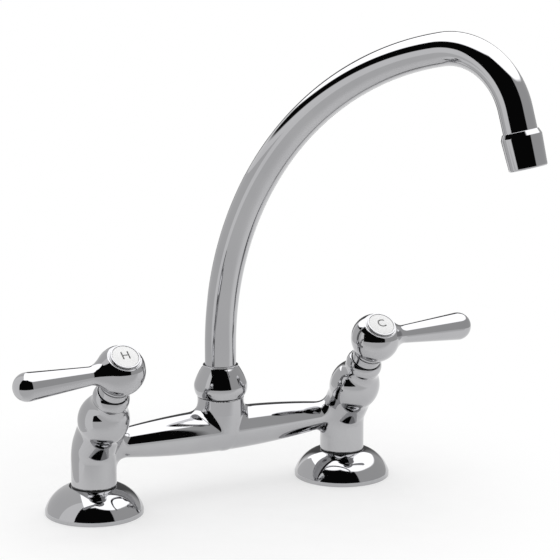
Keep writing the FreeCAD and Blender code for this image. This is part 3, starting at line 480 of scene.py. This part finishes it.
def lever_field(points):
    """Lever ball and arm in the valve's own axes, the arm along +x."""
    x, y, z = points[..., 0], points[..., 1], points[..., 2] - BALL_REACH
    ball = np.sqrt(x * x + y * y + z * z) - BALL_RADIUS
    around = np.hypot(y, z)
    slope = math.asin((END_RADIUS - NECK_RADIUS) / (END_REACH - NECK_REACH))
    beyond = x - END_REACH
    flank = around * math.cos(slope) - beyond * math.sin(slope) - END_RADIUS
    tip = np.hypot(beyond, around) - END_RADIUS
    grip = np.where(beyond * math.cos(slope) + around * math.sin(slope) > 0, tip, flank)
    whole = round_union(ball, np.maximum(grip, -x), LEVER_FILLET)
    return round_cut(whole, z - (BALL_FLAT - BALL_REACH), BALL_EDGE)


def field_normals(field, points, step=0.02):
    """Unit gradients of a field."""
    gradient = np.empty_like(points)
    for axis in range(3):
        offset = np.zeros(3)
        offset[axis] = step
        gradient[..., axis] = field(points + offset) - field(points - offset)
    return gradient / np.maximum(np.linalg.norm(gradient, axis=-1), 1e-9)[..., None]


def field_surface(field, low, high, step, passes=5):
    """Surface-net mesh of a field's zero level, its vertices drawn onto the surface."""
    axes = [np.arange(start, stop + step, step) for start, stop in zip(low, high)]
    values = np.empty([len(axis) for axis in axes], np.float32)
    for index, x in enumerate(axes[0]):
        values[index] = field(np.stack(np.meshgrid([x], axes[1], axes[2], indexing="ij"), -1))[0]
    cells = [count - 1 for count in values.shape]
    total, number = np.zeros(cells + [3]), np.zeros(cells)
    rings = []
    for axis in range(3):
        first, second = [slice(None)] * 3, [slice(None)] * 3
        first[axis], second[axis] = slice(0, -1), slice(1, None)
        start, end = values[tuple(first)], values[tuple(second)]
        place = np.argwhere((start < 0) != (end < 0))
        near, far = start[tuple(place.T)], end[tuple(place.T)]
        point = place.astype(float)
        point[:, axis] += near / (near - far)
        one, two = [other for other in range(3) if other != axis]
        around = []
        for shift_one, shift_two in ((1, 1), (0, 1), (0, 0), (1, 0)):
            cell = place.copy()
            cell[:, one] -= shift_one
            cell[:, two] -= shift_two
            np.add.at(total, tuple(cell.T), point)
            np.add.at(number, tuple(cell.T), 1)
            around.append(cell)
        rings.append((around, (near < 0) ^ (axis == 1)))
    used = number > 0
    names = np.full(cells, -1)
    names[used] = np.arange(used.sum())
    vertices = total[used] / number[used][:, None] * step + np.array(low)
    faces = []
    for around, outward in rings:
        ring = np.stack([names[tuple(cell.T)] for cell in around], -1)
        faces.append(np.where(outward[:, None], ring, ring[:, ::-1]))
    for _ in range(passes):
        distance = np.clip(field(vertices), -step, step)
        vertices = vertices - distance[:, None] * field_normals(field, vertices)
    return vertices, np.concatenate(faces), field_normals(field, vertices)


# ------------------------------------------------------------------ materials

# the middle part of a noise, which the sockets and colours run over
NOISE_LOW = 0.35
NOISE_HIGH = 0.65
BUMP_STRENGTH = 0.3


def new_material(name):
    """A material with nothing but its main shader."""
    material = bpy.data.materials.new(name)
    material.use_nodes = True
    nodes = material.node_tree.nodes
    nodes.clear()
    output = nodes.new("ShaderNodeOutputMaterial")
    shader = nodes.new("ShaderNodeBsdfPrincipled")
    material.node_tree.links.new(shader.outputs["BSDF"], output.inputs["Surface"])
    return material, shader


def add_noise(material, scale, detail=3.0, stretch=(1, 1, 1)):
    """A noise in object space, optionally stretched."""
    nodes, links = material.node_tree.nodes, material.node_tree.links
    place = nodes.new("ShaderNodeTexCoord")
    mapping = nodes.new("ShaderNodeMapping")
    mapping.inputs["Scale"].default_value = stretch
    noise = nodes.new("ShaderNodeTexNoise")
    noise.inputs["Scale"].default_value = scale
    noise.inputs["Detail"].default_value = detail
    links.new(place.outputs["Object"], mapping.inputs["Vector"])
    links.new(mapping.outputs["Vector"], noise.inputs["Vector"])
    return noise


def drive(material, noise, shader, socket, low, high):
    """Run a socket between two values with a noise."""
    spread = material.node_tree.nodes.new("ShaderNodeMapRange")
    spread.inputs["From Min"].default_value = NOISE_LOW
    spread.inputs["From Max"].default_value = NOISE_HIGH
    spread.inputs["To Min"].default_value = low
    spread.inputs["To Max"].default_value = high
    material.node_tree.links.new(noise.outputs["Fac"], spread.inputs["Value"])
    material.node_tree.links.new(spread.outputs["Result"], shader.inputs[socket])


def tint(material, noise, shader, dark, light):
    """Run the base colour between two colours with a noise."""
    ramp = material.node_tree.nodes.new("ShaderNodeValToRGB")
    ramp.color_ramp.elements[0].position = NOISE_LOW
    ramp.color_ramp.elements[1].position = NOISE_HIGH
    ramp.color_ramp.elements[0].color = (*dark, 1)
    ramp.color_ramp.elements[1].color = (*light, 1)
    material.node_tree.links.new(noise.outputs["Fac"], ramp.inputs["Fac"])
    material.node_tree.links.new(ramp.outputs["Color"], shader.inputs["Base Color"])


def roughen(material, noise, shader, distance):
    """Raise the surface a little with a noise."""
    bump = material.node_tree.nodes.new("ShaderNodeBump")
    bump.inputs["Strength"].default_value = BUMP_STRENGTH
    bump.inputs["Distance"].default_value = distance
    material.node_tree.links.new(noise.outputs["Fac"], bump.inputs["Height"])
    material.node_tree.links.new(bump.outputs["Normal"], shader.inputs["Normal"])


def metal(name, dark, light, rough, grain, wave, wave_depth, stretch=(1, 1, 1)):
    """A metal with a slight change of tone and gloss, and a fine surface grain."""
    material, shader = new_material(name)
    shader.inputs["Metallic"].default_value = 1.0
    tint(material, add_noise(material, grain * 0.4), shader, dark, light)
    drive(material, add_noise(material, grain, 4.0, stretch), shader, "Roughness", *rough)
    roughen(material, add_noise(material, wave, 2.0, stretch), shader, wave_depth)
    return material


def solid(name, dark, light, rough, grain, depth, coat=0.0):
    """A non-metal: plastic, rubber, ceramic or glaze."""
    material, shader = new_material(name)
    shader.inputs["Coat Weight"].default_value = coat
    shader.inputs["Coat Roughness"].default_value = 0.05
    tint(material, add_noise(material, grain), shader, dark, light)
    drive(material, add_noise(material, grain * 2.5), shader, "Roughness", *rough)
    roughen(material, add_noise(material, grain * 6), shader, depth)
    return material


CHROME_TONES = (0.455, 0.455, 0.468), (0.475, 0.475, 0.486)
CHROME_CAST = metal("polished_chrome", *CHROME_TONES, (0.02, 0.05), grain=60, wave=38, wave_depth=0.03 * MM)
CHROME_TUBE = metal("tube_chrome", *CHROME_TONES, (0.02, 0.05), grain=60, wave=30, wave_depth=0.02 * MM)
BRASS = metal(
    "turned_brass",
    (0.62, 0.44, 0.17),
    (0.74, 0.56, 0.25),
    (0.22, 0.36),
    grain=300,
    wave=900,
    wave_depth=0.02 * MM,
    stretch=(1, 1, 6),
)
STEEL = metal(
    "bright_steel",
    (0.46, 0.46, 0.47),
    (0.58, 0.58, 0.59),
    (0.18, 0.3),
    grain=400,
    wave=1200,
    wave_depth=0.01 * MM,
)
GLAZE = solid("white_glaze", (0.74, 0.74, 0.74), (0.79, 0.79, 0.79), (0.08, 0.14), 180, 0.01 * MM, coat=0.6)
CERAMIC = solid("lapped_ceramic", (0.82, 0.81, 0.78), (0.88, 0.87, 0.85), (0.25, 0.4), 400, 0.01 * MM)
RUBBER = solid("black_rubber", (0.018, 0.018, 0.018), (0.035, 0.035, 0.034), (0.55, 0.75), 500, 0.03 * MM)
PLASTIC = solid("white_plastic", (0.74, 0.74, 0.71), (0.82, 0.82, 0.79), (0.35, 0.5), 300, 0.02 * MM)
INK = solid("index_ink", (0.03, 0.03, 0.03), (0.07, 0.07, 0.07), (0.3, 0.45), 600, 0.005 * MM)

# ------------------------------------------------------------------ pieces


def add_piece(name, parts, material, body, slot, *replaced):
    """Write parts in millimetres to one smooth mesh that rides on a body."""
    vertices, faces, normals, offset = [], [], [], 0
    for points, quads, ways in parts:
        vertices.append(points)
        faces.append(quads + offset)
        normals.append(ways)
        offset += len(points)
    mesh = bpy.data.meshes.new(name)
    mesh.from_pydata((np.concatenate(vertices) * MM).tolist(), [], np.concatenate(faces).tolist())
    mesh.materials.append(material)
    mesh.polygons.foreach_set("use_smooth", np.ones(len(mesh.polygons), bool))
    mesh.normals_split_custom_set_from_vertices(np.concatenate(normals).tolist())
    mesh.update()
    piece = bpy.data.objects.new(name, mesh)
    bpy.context.scene.collection.objects.link(piece)
    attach(piece, body)
    if replaced:
        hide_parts(*replaced)
    return piece


def build_casting():
    """The bridge with its valve mouths, foot spigots and the hub's spigot."""
    mouth = profile(housing_steps(), edge=0.25)
    foot = profile(
        [
            (FOOT_RADIUS + FOOT_OVERLAP, COLUMN_FOOT + FOOT_INSET),
            (FOOT_RADIUS, COLUMN_FOOT + FOOT_INSET),
            (FOOT_RADIUS, FOOT_BOTTOM),
            (INLET_RADIUS, FOOT_BOTTOM),
            (INLET_RADIUS, INLET_TOP),
            (WATERWAY_RADIUS, INLET_TOP),
            (WATERWAY_RADIUS, WATERWAY_DRAWN_TO),
        ][::-1],
        edge=0.3,
    )[::-1]
    spigot = profile(
        [
            (SPIGOT_RADIUS, HUB_TOP - SPIGOT_OVERLAP),
            (SPIGOT_RADIUS, SPIGOT_TOP),
            (SOCKET_RADIUS, SPIGOT_TOP),
            (SOCKET_RADIUS, SOCKET_DRAWN_TO),
        ]
    )
    parts = [field_surface(body_field, *BRIDGE_GRID, BRIDGE_STEP), lathe(spigot)]
    for side in SIDES:
        parts.append(placed(lathe(mouth, segments=240), valve_place(side)))
        parts.append(placed(lathe(foot), pillar_place(side)))
    add_piece("bridge_casting", parts, CHROME_CAST, "base", "chrome_cast", "bridge_body")


def build_flanges():
    """The domed shells on the deck, hollow below."""
    lip = FLANGE_RADIUS - FLANGE_LIP
    ledge = FLANGE_RADIUS - FLANGE_LEDGE
    roof = FLANGE_TOP - FLANGE_WALL
    dome = profile(
        [
            (FLANGE_BORE, roof),
            (FLANGE_CROWN, roof),
            (ledge, GASKET_HEIGHT + FLANGE_WALL, FLANGE_DOME - FLANGE_WALL, -1),
            (ledge, GASKET_HEIGHT),
            (lip, GASKET_HEIGHT),
            (lip, 0.0),
            (FLANGE_RADIUS, 0.0),
            (FLANGE_RADIUS, FLANGE_RIM),
            (FLANGE_CROWN, FLANGE_TOP, FLANGE_DOME, 1),
            (FLANGE_BORE, FLANGE_TOP),
            (FLANGE_BORE, roof),
        ],
        edge=0.5,
    )
    for side in SIDES:
        part = placed(lathe(dome, segments=220), pillar_place(side))
        add_piece(f"{side}_rose", [part], CHROME_CAST, "base", "chrome_cast", f"{side}_deck_flange")


def build_spout():
    """The union, the bent tube with its bore, and the outlet."""
    union = profile(
        [
            (UNION_BORE, UNION_COLLAR),
            (UNION_BORE, UNION_BOTTOM),
            (UNION_FOOT, UNION_BOTTOM),
            (UNION_RADIUS, UNION_BELLY, UNION_LOWER_BEND, 1),
            (UNION_NECK, UNION_NECK_START, UNION_UPPER_BEND, 1),
            (UNION_NECK, UNION_TOP),
            (UNION_TUBE_BORE, UNION_TOP),
            (UNION_TUBE_BORE, UNION_COLLAR + UNION_COLLAR_GAP),
        ],
        edge=0.4,
    )
    add_piece("spout_collar", [lathe(union)], CHROME_CAST, "base", "chrome_cast", "spout_union")
    tube = [swept_tube(TUBE_RADIUS), swept_tube(TUBE_BORE, inward=True)]
    add_piece("spout_pipe", tube, CHROME_TUBE, "spout", "chrome_tube", "spout_tube")
    housing = profile(
        [
            (OUTLET_BORE, 0.0),
            (OUTLET_BORE, -OUTLET_SLEEVE_LENGTH),
            (OUTLET_SLEEVE, -OUTLET_SLEEVE_LENGTH),
            (OUTLET_RADIUS, 0.0),
            (OUTLET_FRONT, OUTLET_LENGTH - OUTLET_BEVEL),
            (OUTLET_FRONT - OUTLET_BEVEL, OUTLET_LENGTH),
            (OUTLET_LIP, OUTLET_LENGTH),
            (OUTLET_LIP, OUTLET_LENGTH - OUTLET_LIP_LENGTH),
            (OUTLET_SEAT, OUTLET_LENGTH - OUTLET_LIP_LENGTH),
        ],
        edge=0.3,
    )[::-1]
    part = placed(lathe(housing), outlet_place())
    add_piece("outlet_ring", [part], CHROME_CAST, "spout", "chrome_cast", "aerator_housing")


def build_levers():
    """Each lever with its ringed skirt, and the button in its metal ring."""
    casting = field_surface(lever_field, *LEVER_GRID, LEVER_STEP)
    upper_ring = SKIRT_ROOT - RING_HEIGHT
    lower_ring = upper_ring - RING_GAP - RING_HEIGHT
    rings = profile(
        [
            (SKIRT_BORE, SKIRT_BORE_DRAWN_TO),
            (SKIRT_BORE, SKIRT_BOTTOM),
            (SKIRT_RADIUS, SKIRT_BOTTOM),
            (SKIRT_RADIUS, lower_ring),
            (RING_RADIUS, lower_ring),
            (RING_RADIUS, lower_ring + RING_HEIGHT),
            (SKIRT_RADIUS, lower_ring + RING_HEIGHT),
            (SKIRT_RADIUS, upper_ring),
            (RING_RADIUS, upper_ring),
            (RING_RADIUS, SKIRT_ROOT + RING_OVERLAP),
        ],
        edge=0.25,
    )
    bezel = profile(
        [
            (BEZEL_BORE, BUTTON_FOOT),
            (BEZEL_RADIUS, BUTTON_FOOT),
            (BEZEL_RADIUS, BEZEL_SHOULDER),
            (BEZEL_LIP, BEZEL_SHOULDER),
            (BEZEL_LIP, BEZEL_TOP),
            (BEZEL_BORE, BEZEL_TOP),
            (BEZEL_BORE, BUTTON_FOOT),
        ],
        edge=0.22,
    )
    crown_arc = (0.0, BUTTON_TOP, BUTTON_CROWN, 1)
    button = profile([(BUTTON_RADIUS, BUTTON_FOOT), (BUTTON_RADIUS, BUTTON_EDGE), crown_arc])
    for side in SIDES:
        place = valve_place(side, LEVER_TURN[side])
        body = f"{side}_handle"
        lever = [placed(casting, place), placed(lathe(rings), place)]
        ring = [placed(lathe(bezel), place)]
        crown = [placed(lathe(button), place)]
        add_piece(f"{side}_handle_casting", lever, CHROME_CAST, body, "chrome_cast", f"{side}_lever")
        add_piece(f"{side}_bezel", ring, CHROME_CAST, body, "chrome_cast", f"{side}_index_ring")
        add_piece(f"{side}_enamel", crown, GLAZE, body, "porcelain", f"{side}_index_button")
        build_letter(side)


def build_letter(side):
    """A plain capital printed on the button, drawn on its crown."""
    text = bpy.data.curves.new(f"{side}_letter", "FONT")
    text.body = {"hot": "H", "cold": "C"}[side]
    text.size = LETTER_SIZE * MM
    text.align_x = "CENTER"
    text.align_y = "CENTER"
    text.extrude = LETTER_DEPTH * MM
    text.resolution_u = 12
    text.materials.append(INK)
    letter = bpy.data.objects.new(f"{side}_letter", text)
    rotation, shift = valve_place(side)
    matrix = Matrix(rotation.tolist()).to_4x4()
    matrix.translation = Vector((shift + rotation[:, 2] * (BUTTON_TOP - LETTER_SUNK)) * MM)
    letter.matrix_world = matrix
    bpy.context.scene.collection.objects.link(letter)
    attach(letter, f"{side}_handle")


FINISHES = {
    "gasket": RUBBER,
    "seal": RUBBER,
    "o_rings": RUBBER,
    "base_washer": RUBBER,
    "aerator_washer": RUBBER,
    "cartridge_body": BRASS,
    "cartridge_stem": BRASS,
    "spout_shank": BRASS,
    "nipple": BRASS,
    "disc": CERAMIC,
    "circlip": STEEL,
    "screw": STEEL,
    "screen": STEEL,
    "insert": PLASTIC,
    "glide_ring": PLASTIC,
}


def finish_nodes():
    """Give the solids that stay in view, or inside, their materials."""
    for name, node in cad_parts.items():
        material = next((value for key, value in FINISHES.items() if key in name), CHROME_CAST)
        node.data.materials.clear()
        node.data.materials.append(material)


# ------------------------------------------------------------------ studio

VIEW_AZIMUTH = math.radians(-27.9)
CAMERA_PLACE = (-0.770755, -1.545589, 0.537986)
CAMERA_SIGHT = (0.45725, 0.86291, -0.21518)
CAMERA_LENS = 159.83
LAMP_PLACE = Vector((-0.2, -0.3, 1.3))
LAMP_SIZE = 0.9
LAMP_ENERGY = 3.0
WORLD_LIGHT = 0.85

# the room in metres, its edges as (azimuth, elevation) in degrees: 0 is at the camera, 90 at its right;
# the ceiling is above its edge, the walls below theirs, and what is left between is the screen
ROOM_RADIUS = 1.5
ROOM_CENTRE = 0.1
CEILING_EDGE = [
    (-180, 34),
    (-160, 30),
    (-150, 20),
    (-120, 30),
    (-90, 47),
    (-60, 55),
    (0, 64),
    (60, 45),
    (90, 38),
    (120, 28),
    (150, 20),
    (160, 30),
    (180, 34),
]
WALL_TOP = [(-180, 40), (-142, 40), (-138, 17), (-58, 17), (-54, -12), (46, -12), (49, 80), (180, 80)]
WALL_LIGHT = [
    (-180, 0.1),
    (-164, 0.1),
    (-150, 1.0),
    (-58, 1.0),
    (-54, 0.0),
    (46, 0.0),
    (49, 0.55),
    (148, 0.55),
    (164, 0.1),
    (180, 0.1),
]
TABLE_EDGE = -12.0
CEILING_LIGHT = 2.2
SCREEN_LIGHT = 0.004
TABLE_LIGHT = 0.85
WALL_SOFTNESS = 1.5
EDGE_SOFTNESS = 2.0

# a colour ramp holds only 0 to 1, so heights are stored from a low end and over a span
RAMP_LOW = -20
HEIGHT_SPAN = 110
LIGHT_SPAN = 100
WALL_SCALE = 20

# upright cards: nearest and farthest depth in metres, and light
CARD_OFFSET = 0.178
CARD_HEIGHT = 0.26
CARDS = {"side_card_near": (-0.16, -0.079, 0.98), "side_card_far": (-0.079, 0.35, 0.72)}

# the table in metres: its plain white round the faucet, and the shade that the metal sees in front
TABLE_RADIUS = 0.75
TABLE_CORNERS = 96
WHITE_START = 0.2
WHITE_RUN = 0.08
WHITE_NEAR = 0.45
FRONT_DEPTH = -0.14
FRONT_RUN = 0.06
FRONT_SHADE = 0.24


class Sums:
    """Short arithmetic on shader values."""

    def __init__(self, tree):
        """Work in one node tree."""
        self.tree = tree

    def __call__(self, operation, *values):
        """One math node on numbers and other nodes' values."""
        node = self.tree.nodes.new("ShaderNodeMath")
        node.operation = operation
        for socket, value in zip(node.inputs, values):
            if isinstance(value, (int, float)):
                socket.default_value = value
            else:
                self.tree.links.new(value, socket)
        return node.outputs[0]

    def curve(self, azimuth, points, span):
        """A height looked up along the azimuth, in degrees, through a colour ramp."""
        ramp = self.tree.nodes.new("ShaderNodeValToRGB")
        elements = ramp.color_ramp.elements
        while len(elements) < len(points):
            elements.new(0.5)
        for element, (stop, height) in zip(elements, points):
            element.position = (stop + 180) / 360
            element.color = (*[(height - RAMP_LOW) / span] * 3, 1)
        self.tree.links.new(self("MULTIPLY_ADD", azimuth, 1 / 360, 0.5), ramp.inputs["Fac"])
        return self("MULTIPLY_ADD", ramp.outputs["Color"], span, RAMP_LOW)

    def step(self, value, edge, width):
        """0 below the edge and 1 above it, with a soft change between."""
        offset = self("SUBTRACT", value, edge)
        blend = self.tree.nodes.new("ShaderNodeMapRange")
        blend.interpolation_type = "SMOOTHSTEP"
        blend.inputs["From Min"].default_value = -width
        blend.inputs["From Max"].default_value = width
        self.tree.links.new(offset, blend.inputs["Value"])
        return blend.outputs["Result"]

    def mix(self, share, low, high):
        """The low value at share 0 and the high one at share 1."""
        spread = self("SUBTRACT", high, low)
        return self("MULTIPLY_ADD", spread, share, low)

    def seen(self):
        """Two switches: for rays that come off the metal, and for those or the camera's own."""
        path = self.tree.nodes.new("ShaderNodeLightPath")
        mirrored = self("MAXIMUM", path.outputs["Is Glossy Ray"], path.outputs["Is Transmission Ray"])
        return mirrored, self("MAXIMUM", path.outputs["Is Camera Ray"], mirrored)


def add_plain(name, vertices, faces):
    """A mesh of the studio, in metres."""
    mesh = bpy.data.meshes.new(name)
    mesh.from_pydata(vertices, [], faces)
    plain = bpy.data.objects.new(name, mesh)
    bpy.context.scene.collection.objects.link(plain)
    return plain


def make_glow(plain, material_name):
    """Let a studio mesh shine by itself, seen only in the metal; gives its shader's tree and strength."""
    material = bpy.data.materials.new(material_name)
    material.use_nodes = True
    material.cycles.emission_sampling = "NONE"
    tree = material.node_tree
    tree.nodes.clear()
    emission = tree.nodes.new("ShaderNodeEmission")
    output = tree.nodes.new("ShaderNodeOutputMaterial")
    tree.links.new(emission.outputs[0], output.inputs["Surface"])
    plain.data.materials.append(material)
    plain.visible_camera = False
    plain.visible_diffuse = False
    plain.visible_transmission = False
    plain.visible_shadow = False
    return tree, emission.inputs["Strength"]


def studio_dome():
    """A room of white ceiling, grey side walls and a black screen round the camera."""
    rows = np.linspace(-math.pi / 2, math.pi / 2, 40)
    outline = np.stack([ROOM_RADIUS * np.cos(rows), ROOM_RADIUS * np.sin(rows)], 1)
    vertices, faces, _ = lathe(outline, segments=96)
    room = add_plain("room", vertices.tolist(), faces.tolist())
    room.location = (0, 0, ROOM_CENTRE)
    room.rotation_euler = (0, 0, VIEW_AZIMUTH)
    tree, strength = make_glow(room, "room_light")
    sums = Sums(tree)
    place = tree.nodes.new("ShaderNodeTexCoord")
    parts = tree.nodes.new("ShaderNodeSeparateXYZ")
    tree.links.new(place.outputs["Object"], parts.inputs["Vector"])
    x, y, z = parts.outputs
    azimuth = sums("MULTIPLY", sums("ARCTAN2", x, sums("MULTIPLY", y, -1.0)), 180 / math.pi)
    elevation = sums("MULTIPLY", sums("ARCSINE", sums("DIVIDE", z, ROOM_RADIUS)), 180 / math.pi)
    heights = [(stop, light * WALL_SCALE) for stop, light in WALL_LIGHT]
    wall = sums("MULTIPLY_ADD", sums.curve(azimuth, heights, LIGHT_SPAN), 1 / WALL_SCALE, 0.0)
    over_wall = sums.step(elevation, sums.curve(azimuth, WALL_TOP, HEIGHT_SPAN), WALL_SOFTNESS)
    light = sums.mix(over_wall, wall, SCREEN_LIGHT)
    over_edge = sums.step(elevation, sums.curve(azimuth, CEILING_EDGE, HEIGHT_SPAN), EDGE_SOFTNESS)
    light = sums.mix(over_edge, light, CEILING_LIGHT)
    light = sums.mix(sums.step(elevation, TABLE_EDGE, EDGE_SOFTNESS), TABLE_LIGHT, light)
    tree.links.new(light, strength)


def studio_card(name, near, far, light):
    """An upright grey card left of the faucet, along the line of sight and just above the table."""
    sight = Vector((math.sin(-VIEW_AZIMUTH), math.cos(-VIEW_AZIMUTH), 0))
    right = Vector((sight.y, -sight.x, 0))
    corners = []
    for depth, height in ((near, 0), (far, 0), (far, CARD_HEIGHT), (near, CARD_HEIGHT)):
        corners.append(sight * depth - right * CARD_OFFSET + Vector((0, 0, height + MM)))
    card = add_plain(name, corners, [(0, 1, 2, 3)])
    _, strength = make_glow(card, name)
    strength.default_value = light


def studio_floor():
    """A pale table under the faucet that turns plain white, to camera and metal, away from it."""
    angles = np.linspace(0, 2 * math.pi, TABLE_CORNERS, endpoint=False)
    rim = np.stack([np.cos(angles), np.sin(angles), np.zeros(TABLE_CORNERS)], 1) * TABLE_RADIUS
    table = add_plain("table", rim.tolist(), [list(range(TABLE_CORNERS))])
    material, shader = new_material("table_white")
    tree = material.node_tree
    speckle = add_noise(material, 40)
    tint(material, speckle, shader, (0.95, 0.95, 0.95), (0.97, 0.97, 0.97))
    drive(material, speckle, shader, "Roughness", 0.85, 0.95)
    sums = Sums(tree)
    place = tree.nodes.new("ShaderNodeTexCoord")
    length = tree.nodes.new("ShaderNodeVectorMath")
    length.operation = "LENGTH"
    tree.links.new(place.outputs["Object"], length.inputs[0])
    parts = tree.nodes.new("ShaderNodeSeparateXYZ")
    tree.links.new(place.outputs["Object"], parts.inputs["Vector"])
    depth = sums("MULTIPLY", parts.outputs["X"], math.sin(-VIEW_AZIMUTH))
    depth = sums("MULTIPLY_ADD", parts.outputs["Y"], math.cos(-VIEW_AZIMUTH), depth)
    mirrored, seen = sums.seen()
    away = sums.step(length.outputs["Value"], WHITE_START, WHITE_RUN)
    share = sums("MULTIPLY", sums.mix(away, WHITE_NEAR, 1.0), seen)
    # the metal sees the table a little darker in front of the faucet
    shade = sums("MULTIPLY", mirrored, sums.mix(sums.step(depth, FRONT_DEPTH, FRONT_RUN), FRONT_SHADE, 0.0))
    white = tree.nodes.new("ShaderNodeEmission")
    tree.links.new(sums("SUBTRACT", 1.0, shade), white.inputs["Strength"])
    blend = tree.nodes.new("ShaderNodeMixShader")
    output = tree.nodes["Material Output"]
    tree.links.new(share, blend.inputs["Fac"])
    tree.links.new(shader.outputs["BSDF"], blend.inputs[1])
    tree.links.new(white.outputs[0], blend.inputs[2])
    tree.links.new(blend.outputs[0], output.inputs["Surface"])
    table.data.materials.append(material)


def studio_light():
    """A white world that lights a little less than it shows, with a soft lamp overhead."""
    world = bpy.data.worlds.new("studio")
    bpy.context.scene.world = world
    world.use_nodes = True
    tree = world.node_tree
    tree.nodes.clear()
    sums = Sums(tree)
    _, seen = sums.seen()
    background = tree.nodes.new("ShaderNodeBackground")
    output = tree.nodes.new("ShaderNodeOutputWorld")
    tree.links.new(sums.mix(seen, WORLD_LIGHT, 1.0), background.inputs["Strength"])
    background.inputs["Color"].default_value = (1, 1, 1, 1)
    tree.links.new(background.outputs[0], output.inputs["Surface"])
    lamp = bpy.data.lights.new("softbox", "AREA")
    lamp.shape = "DISK"
    lamp.size = LAMP_SIZE
    lamp.energy = LAMP_ENERGY
    softbox = bpy.data.objects.new("softbox", lamp)
    softbox.location = LAMP_PLACE
    softbox.rotation_euler = (-LAMP_PLACE).to_track_quat("-Z", "Y").to_euler()
    softbox.visible_glossy = False
    bpy.context.scene.collection.objects.link(softbox)


def studio_camera():
    """The photograph's view: a long lens from the front left, slightly above."""
    camera = bpy.data.cameras.new("camera")
    camera.lens = CAMERA_LENS
    camera.sensor_width = 36
    viewer = bpy.data.objects.new("camera", camera)
    viewer.location = CAMERA_PLACE
    viewer.rotation_euler = Vector(CAMERA_SIGHT).to_track_quat("-Z", "Y").to_euler()
    bpy.context.scene.collection.objects.link(viewer)
    bpy.context.scene.camera = viewer
    bpy.context.scene.view_settings.view_transform = "Standard"


finish_nodes()
build_casting()
build_flanges()
build_spout()
build_levers()
studio_dome()
for name, card in CARDS.items():
    studio_card(name, *card)
studio_floor()
studio_light()
studio_camera()
